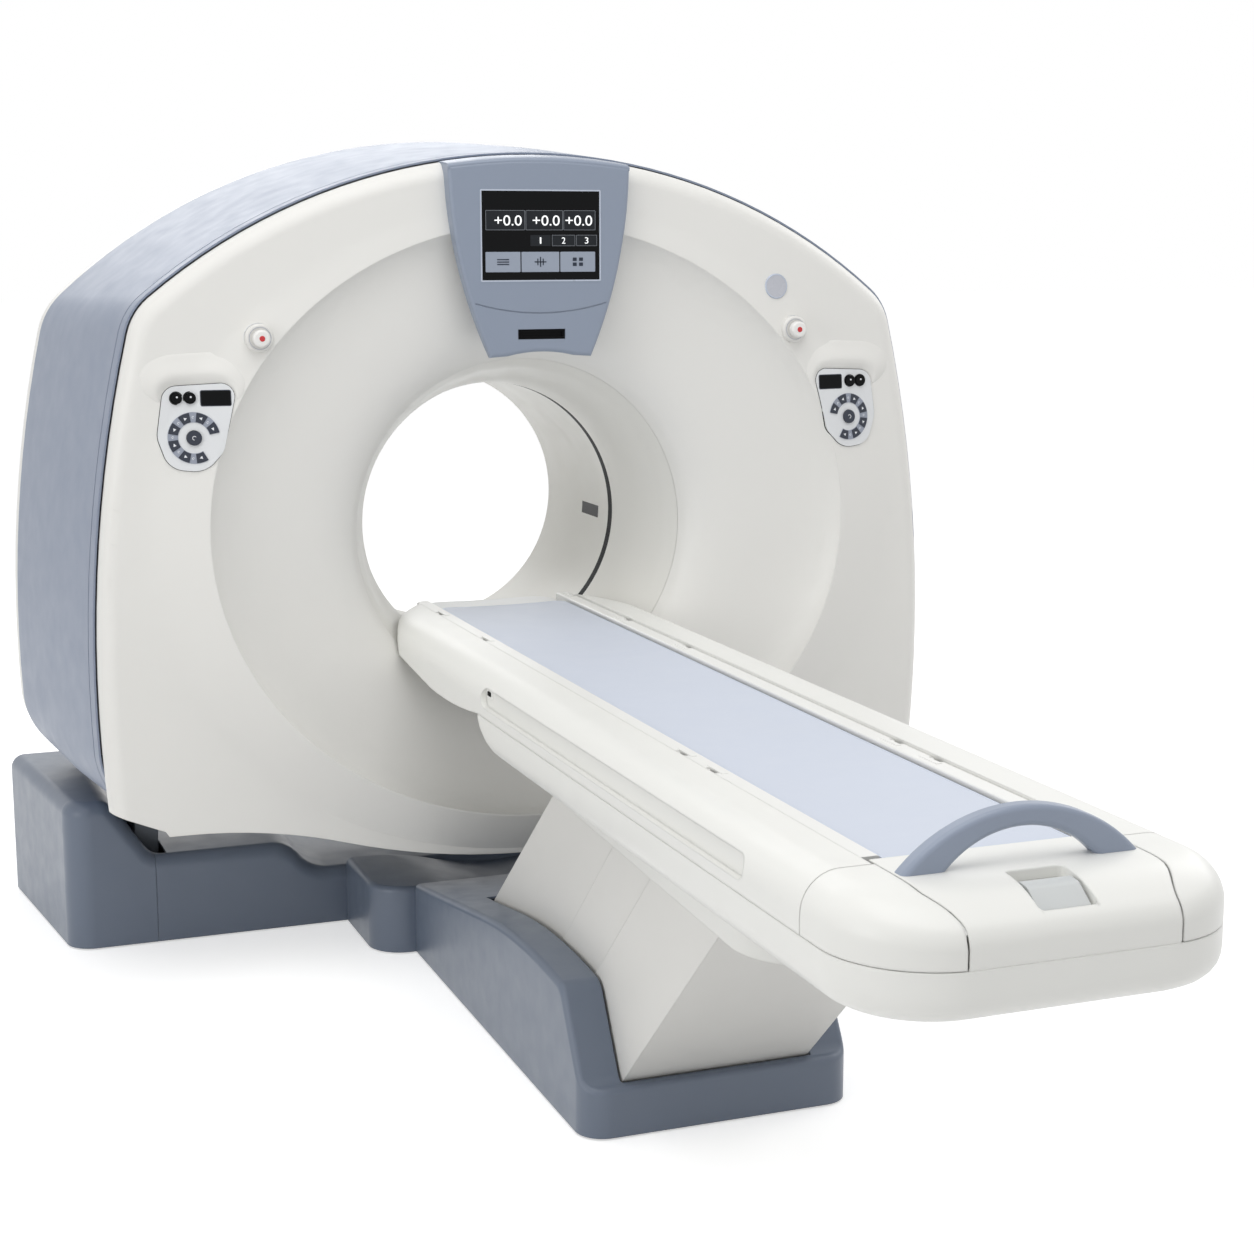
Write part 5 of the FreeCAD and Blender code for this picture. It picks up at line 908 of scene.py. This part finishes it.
def outline_point(a):
    """Plan outline: a below 0 runs back up the side, 0 to 90 turns the corner."""
    if a <= 0:
        return HALF, CENTRE_Y - a
    a = math.radians(a)
    return CENTRE_X + CORNER * math.cos(a), CENTRE_Y - CORNER * math.sin(a)


COVER_BACK = -2640.8
INWARDS = (0, .006, .015, .03, .05, .08, .12, .17, .23, .3, .38, .48, .6, .74, .88, 1.0)
last = math.degrees(math.acos((seam_x(END) - CENTRE_X) / CORNER))
steps = [-(COVER_BACK - CENTRE_Y) * (1 - i / 5) for i in range(5)] + [last * i / 26 for i in range(27)]
for word, side in SIDES:
    rows = []
    for i, a in enumerate(steps):
        px, py = outline_point(a)
        qy = COVER_BACK + (outline_point(last)[1] - COVER_BACK) * i / (len(steps) - 1)
        qx = seam_x(qy)
        edge = foot_top(px, py)
        row = [(side * px, py, min(SEAM_Z + up, edge - 1)) for up in (0.7, 6, 14)]
        for t in INWARDS:
            x, y = px + (qx - px) * t, py + (qy - py) * t
            row.append((side * x, y, foot_top(x, y)))
        rows.append(row)
    piece = skin_piece("foot_cover_" + word, rows)
    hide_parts("foot_corner_" + word)

# the end cap between them, carried by the tabletop, with the well for the release
CAP_BACK = -2615.6
WELL_X, WELL_BACK, WELL_FRONT = 50.0, -2745.0, -2849.0
WELL_DEEP, WELL_TAPER, WELL_ROUND = 22, 0.985, 9
across = [.05, .15, .25, .3, .4, .5, .66, .8, .9, .96, 1]
across = [-u for u in reversed(across)] + across
along = [CAP_BACK, -2640, -2670, -2700, -2725, WELL_BACK, -2762, -2780, -2797, -2814, -2832, WELL_FRONT]
WELL_SHARE = 0.25                       # of the cap's half width, so that its columns meet the well
FORWARDS = (.2, .4, .55, .68, .8, .88, .94, .98, 1.0)


def cap_x(u, y):
    """The x of a column of the cap: u is its share of the half width, -1 to 1."""
    if abs(u) <= WELL_SHARE:
        return u / WELL_SHARE * WELL_X
    return math.copysign(WELL_X + (abs(u) - WELL_SHARE) / (1 - WELL_SHARE) * (seam_x(y) - SEAM_GAP - WELL_X), u)


def in_well(co):
    return abs(co.x) < (WELL_X + 0.5) * MM and (WELL_FRONT - 0.5) * MM < co.y < (WELL_BACK + 0.5) * MM


def is_well_corner(edge):
    """True for an upright edge at one of the well's four corners."""
    one, two = (v.co / MM for v in edge.verts)
    at_side = all(abs(abs(co.x) - WELL_X) < 1.5 for co in (one, two))
    at_end = min(abs(one.y - WELL_BACK), abs(one.y - WELL_FRONT)) < 1
    return at_side and at_end and abs(one.y - two.y) < 0.5 and abs(one.z - two.z) > 15


cap_rows = []
for u in across:
    front_y = CENTRE_Y - math.sqrt(CORNER ** 2 - max(0.0, abs(cap_x(u, END)) - CENTRE_X) ** 2)
    row = []
    for y in along + [WELL_FRONT + (front_y - WELL_FRONT) * t for t in FORWARDS]:
        x = cap_x(u, y)
        row.append((x, y, foot_top(x, y)))
    x, y, z = row[-1]
    row += [(x, y, z - 8), (x, y, 784), (x, y, 772), (x, y + 1.2, 767.5), (x, y + 4, 765.2), (x, y + 14, 764.6)]
    cap_rows.append(row)
mesh = mesh_of("foot_cap", [p for row in cap_rows for p in row], grid_faces(len(cap_rows), len(cap_rows[0])))
bm = bmesh.new()
bm.from_mesh(mesh)
bmesh.ops.delete(bm, geom=[f for f in bm.faces if all(in_well(v.co) for v in f.verts)], context="FACES")
hole = [e for e in bm.edges if e.is_boundary and all(in_well(v.co) for v in e.verts)]
well_wall = bmesh.ops.extrude_edge_only(bm, edges=hole)
for v in new_verts(well_wall):
    v.co.z -= WELL_DEEP * MM
    v.co.x *= WELL_TAPER
uprights = [e for e in bm.edges if is_well_corner(e)]
bmesh.ops.bevel(bm, geom=uprights, offset=WELL_ROUND * MM, segments=4, profile=0.5, affect="EDGES")
skin_up(bm, mesh)
cap = new_object("foot_cap", mesh, couch_white, "table", shading=45, soft=3.0, wall=3.5, segments=3,
        bevel_angle=40)
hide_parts("end_cap")

# the lower band: one rounded gutter down the left side, round the foot and back up the right
SECTION = [(6.0, 767.4), (1.0, 767.4), (0.3, 766.6), (0, 765), (0, 745), (0, 731), (1.0, 719), (4.0, 708.5),
        (10, 699), (19, 690.5), (31, 684), (46, 679.4), (64, 677), (92, 676.3)]      # depth in, z
BAND_HEAD, HEAD_ROUND, HEAD_SHARE = -1001, 95, 0.12     # where it starts, and how it comes to full height
BAND_STEPS = [BAND_HEAD - d for d in (0, 2, 6, 12, 20, 32, 46, 62, 80, 100)]
BAND_STEPS += [-1250, -1500, -1750, -2000, -2250, -2500, -2640]


def band_line(side):
    """Points of one half of the plan outline, each with its outward direction."""
    line = [(side * HALF, y, side, 0.0) for y in BAND_STEPS]
    for i in range(25):
        a = math.radians(90 * i / 24)
        line.append((side * (CENTRE_X + CORNER * math.cos(a)), CENTRE_Y - CORNER * math.sin(a),
                side * math.cos(a), -math.sin(a)))
    return line


rows = []
for x, y, nx, ny in band_line(-1) + band_line(1)[::-1]:
    s = min(1.0, max(0.0, BAND_HEAD - y) / HEAD_ROUND)
    full = HEAD_SHARE + (1 - HEAD_SHARE) * math.sqrt(1 - (1 - s) ** 2)
    rows.append([(x - nx * d, y - ny * d, SEAM_Z - (SEAM_Z - z) * (full if z < 760 else 1)) for d, z in SECTION])
band = skin_piece("foot_band", rows, thick=3.6, bevel=0.8, up=-1)
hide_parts("couch_lower_band")
PAN = [(-242, -2783), (242, -2783), (243, -2700), (243, -2633), (-243, -2633), (-243, -2700)]
prism("foot_pan", PAN, "Z", 676.8, 680, couch_white, "couch_upper", soft=0.6)
WEB = [(-214, 680), (214, 680), (214, 732), (-214, 732)]
prism("foot_web", WEB, "Y", -2640, -2634, couch_white, "couch_upper", soft=0.8)


# ---------------- the release: a wedge in its well
well = [(-2746, 848), (-2848, 819), (-2848, 815), (-2746, 844)]
prism("release_well", well, "X", -49.6, 49.6, couch_white, "table", soft=0.8)
wedge = [(-2770, 846.5), (-2770, 853), (-2774, 857.5), (-2781, 859), (-2799, 857), (-2806, 853.5),
        (-2835, 832), (-2837, 829), (-2836.5, 826.5)]
lever = prism("release_lever", wedge, "X", -44.5, 44.5, release_grey, "table_release", soft=2.2)
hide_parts("release_button")


# ---------------- rear cover: seams, grilles, fasteners
low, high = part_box("rear_cover")
BACK, TOP_Z, LOW_Z = high.y / MM, high.z / MM, low.z / MM
BORE_Z = front_of("bore_liner")[1]
RING, SEAM_WIDE, SEAM_LIFT = 405, 2.4, 0.35
GRILLE_X, GRILLE_UP = 640, 470
FASTENERS = ((520, 700), (905, 640), (905, 1130), (520, 1640), (44, 1800), (44, 430))       # x, z


def back_y(x, z):
    hit = first_hit("rear_cover", (x, BACK + 200, z), (0, -1, 0))
    return BACK if hit is None else hit.y


def back_seam(name, points):
    """A dark line over the rear cover's skin."""
    verts = []
    for k, (x, z) in enumerate(points):
        here, there = Vector(points[max(0, k - 1)]), Vector(points[min(len(points) - 1, k + 1)])
        along = (there - here).normalized()
        for t in (-SEAM_WIDE / 2, SEAM_WIDE / 2):
            px, pz = x - along.y * t, z + along.x * t
            y = back_y(px, pz)
            verts += [(px, y - 1.5, pz), (px, y + SEAM_LIFT, pz)]
    faces = [(0, 1, 3, 2), (len(verts) - 4, len(verts) - 2, len(verts) - 1, len(verts) - 3)]
    for k in range(len(points) - 1):
        a, b = 4 * k, 4 * k + 4
        faces += [(a + p, b + p, b + q, a + q) for p, q in ((0, 1), (1, 3), (3, 2))] + [(a + 2, b + 2, b, a)]
    new_object(name, outward(mesh_of(name, verts, faces)), seal_black)


def rise(start, end, count):
    return [(0, start + (end - start) * k / count) for k in range(count + 1)]


back_seam("rear_seam_upper", rise(BORE_Z + RING, TOP_Z - 14, 24))
back_seam("rear_seam_lower", rise(LOW_Z + 16, BORE_Z - RING, 16))
turns = [2 * math.pi * k / 96 for k in range(97)]
back_seam("rear_seam_ring", [(RING * math.sin(a), BORE_Z + RING * math.cos(a)) for a in turns])
for word, side in SIDES:
    cx, cz = side * GRILLE_X, BORE_Z + GRILLE_UP
    prism("rear_grille_back_" + word, rounded(cx, cz, 300, 96, 8), "Y", BACK - 2, BACK + 0.3, seal_black)
    frame_ring("rear_grille_frame_" + word, cx - 152, cx + 152, cz - 50, cz + 50, 7, BACK - 2, BACK + 2.0,
            cover_white, radius=11)
    for i in range(6):
        z = cz - 36.5 + 14.6 * i
        slat = [(BACK - 2, z - 3.6), (BACK + 0.5, z - 3.6), (BACK + 1.7, z + 1.5), (BACK + 1.7, z + 3.2),
                (BACK - 2, z + 3.2)]
        prism("rear_slat_%s_%d" % (word, i + 1), slat, "X", cx - 145.2, cx + 145.2, cover_white, soft=0.4)
    for i, (fx, fz) in enumerate(FASTENERS, 1):
        fx *= side
        y = back_y(fx, fz)
        tag = "%s_%d" % (word, i)
        lathe("rear_fastener_" + tag, [(-2.5, 9.5), (0.9, 9.5), (1.5, 8.8), (1.5, 4.6), (0.6, 4.2)],
              bezel_white, (fx, y, fz), count=32)
        block("rear_fastener_slot_" + tag, (fx - 3.4, y - 0.5, fz - 0.8), (fx + 3.4, y + 0.95, fz + 0.8),
              plug_grey, "gantry", soft=0.2)


# ---------------- studio
FLOOR_GLOW, WORLD_LIGHT = 0.52, 0.62    # what brings the floor to white, and the world's level on the object
pale = bpy.data.materials.new("floor_pale")
pale.use_nodes = True
n = Nodes(pale.node_tree)
diffuse = n.fill(n.node("ShaderNodeBsdfDiffuse"), {0: (0.8, 0.8, 0.8, 1.0)})
emit = n.fill(n.node("ShaderNodeEmission"), {"Strength": n.maths("MULTIPLY", n.direct_rays(), FLOOR_GLOW)})
both = n.fill(n.node("ShaderNodeAddShader"), {0: diffuse.outputs[0], 1: emit.outputs[0]})
n.fill(n.node("ShaderNodeOutputMaterial"), {0: both.outputs[0]})
FAR = 60000
floor_mesh = mesh_of("floor", [(-FAR, -FAR, -0.5), (FAR, -FAR, -0.5), (FAR, FAR, -0.5), (-FAR, FAR, -0.5)],
        [(0, 1, 2, 3)])
floor = bpy.data.objects.new("floor", floor_mesh)
scene.collection.objects.link(floor)
floor.data.materials.append(pale)
floor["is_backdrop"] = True

world = bpy.data.worlds.new("studio")
scene.world = world
world.use_nodes = True
n = Nodes(world.node_tree)
level = n.span(n.direct_rays(), WORLD_LIGHT, 1.0, 0, 1)
background = n.fill(n.node("ShaderNodeBackground"), {"Color": (1, 1, 1, 1), "Strength": level})
n.fill(n.node("ShaderNodeOutputWorld"), {0: background.outputs[0]})


def lamp(name, place, aim, width, height, power):
    data = bpy.data.lights.new(name, "AREA")
    data.shape = "RECTANGLE"
    data.size, data.size_y = width, height
    data.energy = power
    obj = bpy.data.objects.new(name, data)
    scene.collection.objects.link(obj)
    obj.location = place
    obj.rotation_mode = "QUATERNION"
    obj.rotation_quaternion = (Vector(aim) - Vector(place)).to_track_quat("-Z", "Y")
    obj.visible_camera = False


lamp("overhead", (-0.6, -2.6, 5.6), (0, -1.2, 0.8), 4.5, 4.5, 112)
lamp("left_front", (-6.4, -3.3, 2.2), (0, -0.8, 0.9), 3.0, 3.0, 70)
lamp("right_rim", (5.5, 0.8, 4.2), (0.2, -0.6, 1.0), 3.0, 3.0, 60)
lamp("behind", (0.0, 5.0, 4.0), (0, 0.3, 1.0), 4.0, 3.0, 70)

IMAGE_SIZE, FOCAL_PIXELS = 1254, 2156.2
EYE = Vector((-1.6779, -5.4346, 1.7930))
yaw, pitch, roll = (math.radians(a) for a in (20.914, -10.208, -0.053))
forward = Vector((math.sin(yaw) * math.cos(pitch), math.cos(yaw) * math.cos(pitch), math.sin(pitch)))
right = Vector((math.cos(yaw), -math.sin(yaw), 0))
up = right.cross(forward)
right, up = (math.cos(roll) * right + math.sin(roll) * up, math.cos(roll) * up - math.sin(roll) * right)
camera_data = bpy.data.cameras.new("camera")
camera_data.sensor_width = 36
camera_data.lens = 36 * FOCAL_PIXELS / IMAGE_SIZE
camera_data.clip_start, camera_data.clip_end = 0.05, 400
camera = bpy.data.objects.new("camera", camera_data)
scene.collection.objects.link(camera)
turn = Matrix((right, up, -forward)).transposed()
camera.matrix_world = Matrix.Translation(EYE) @ turn.to_4x4()
scene.camera = camera
scene.view_settings.view_transform = "Standard"

low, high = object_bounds()
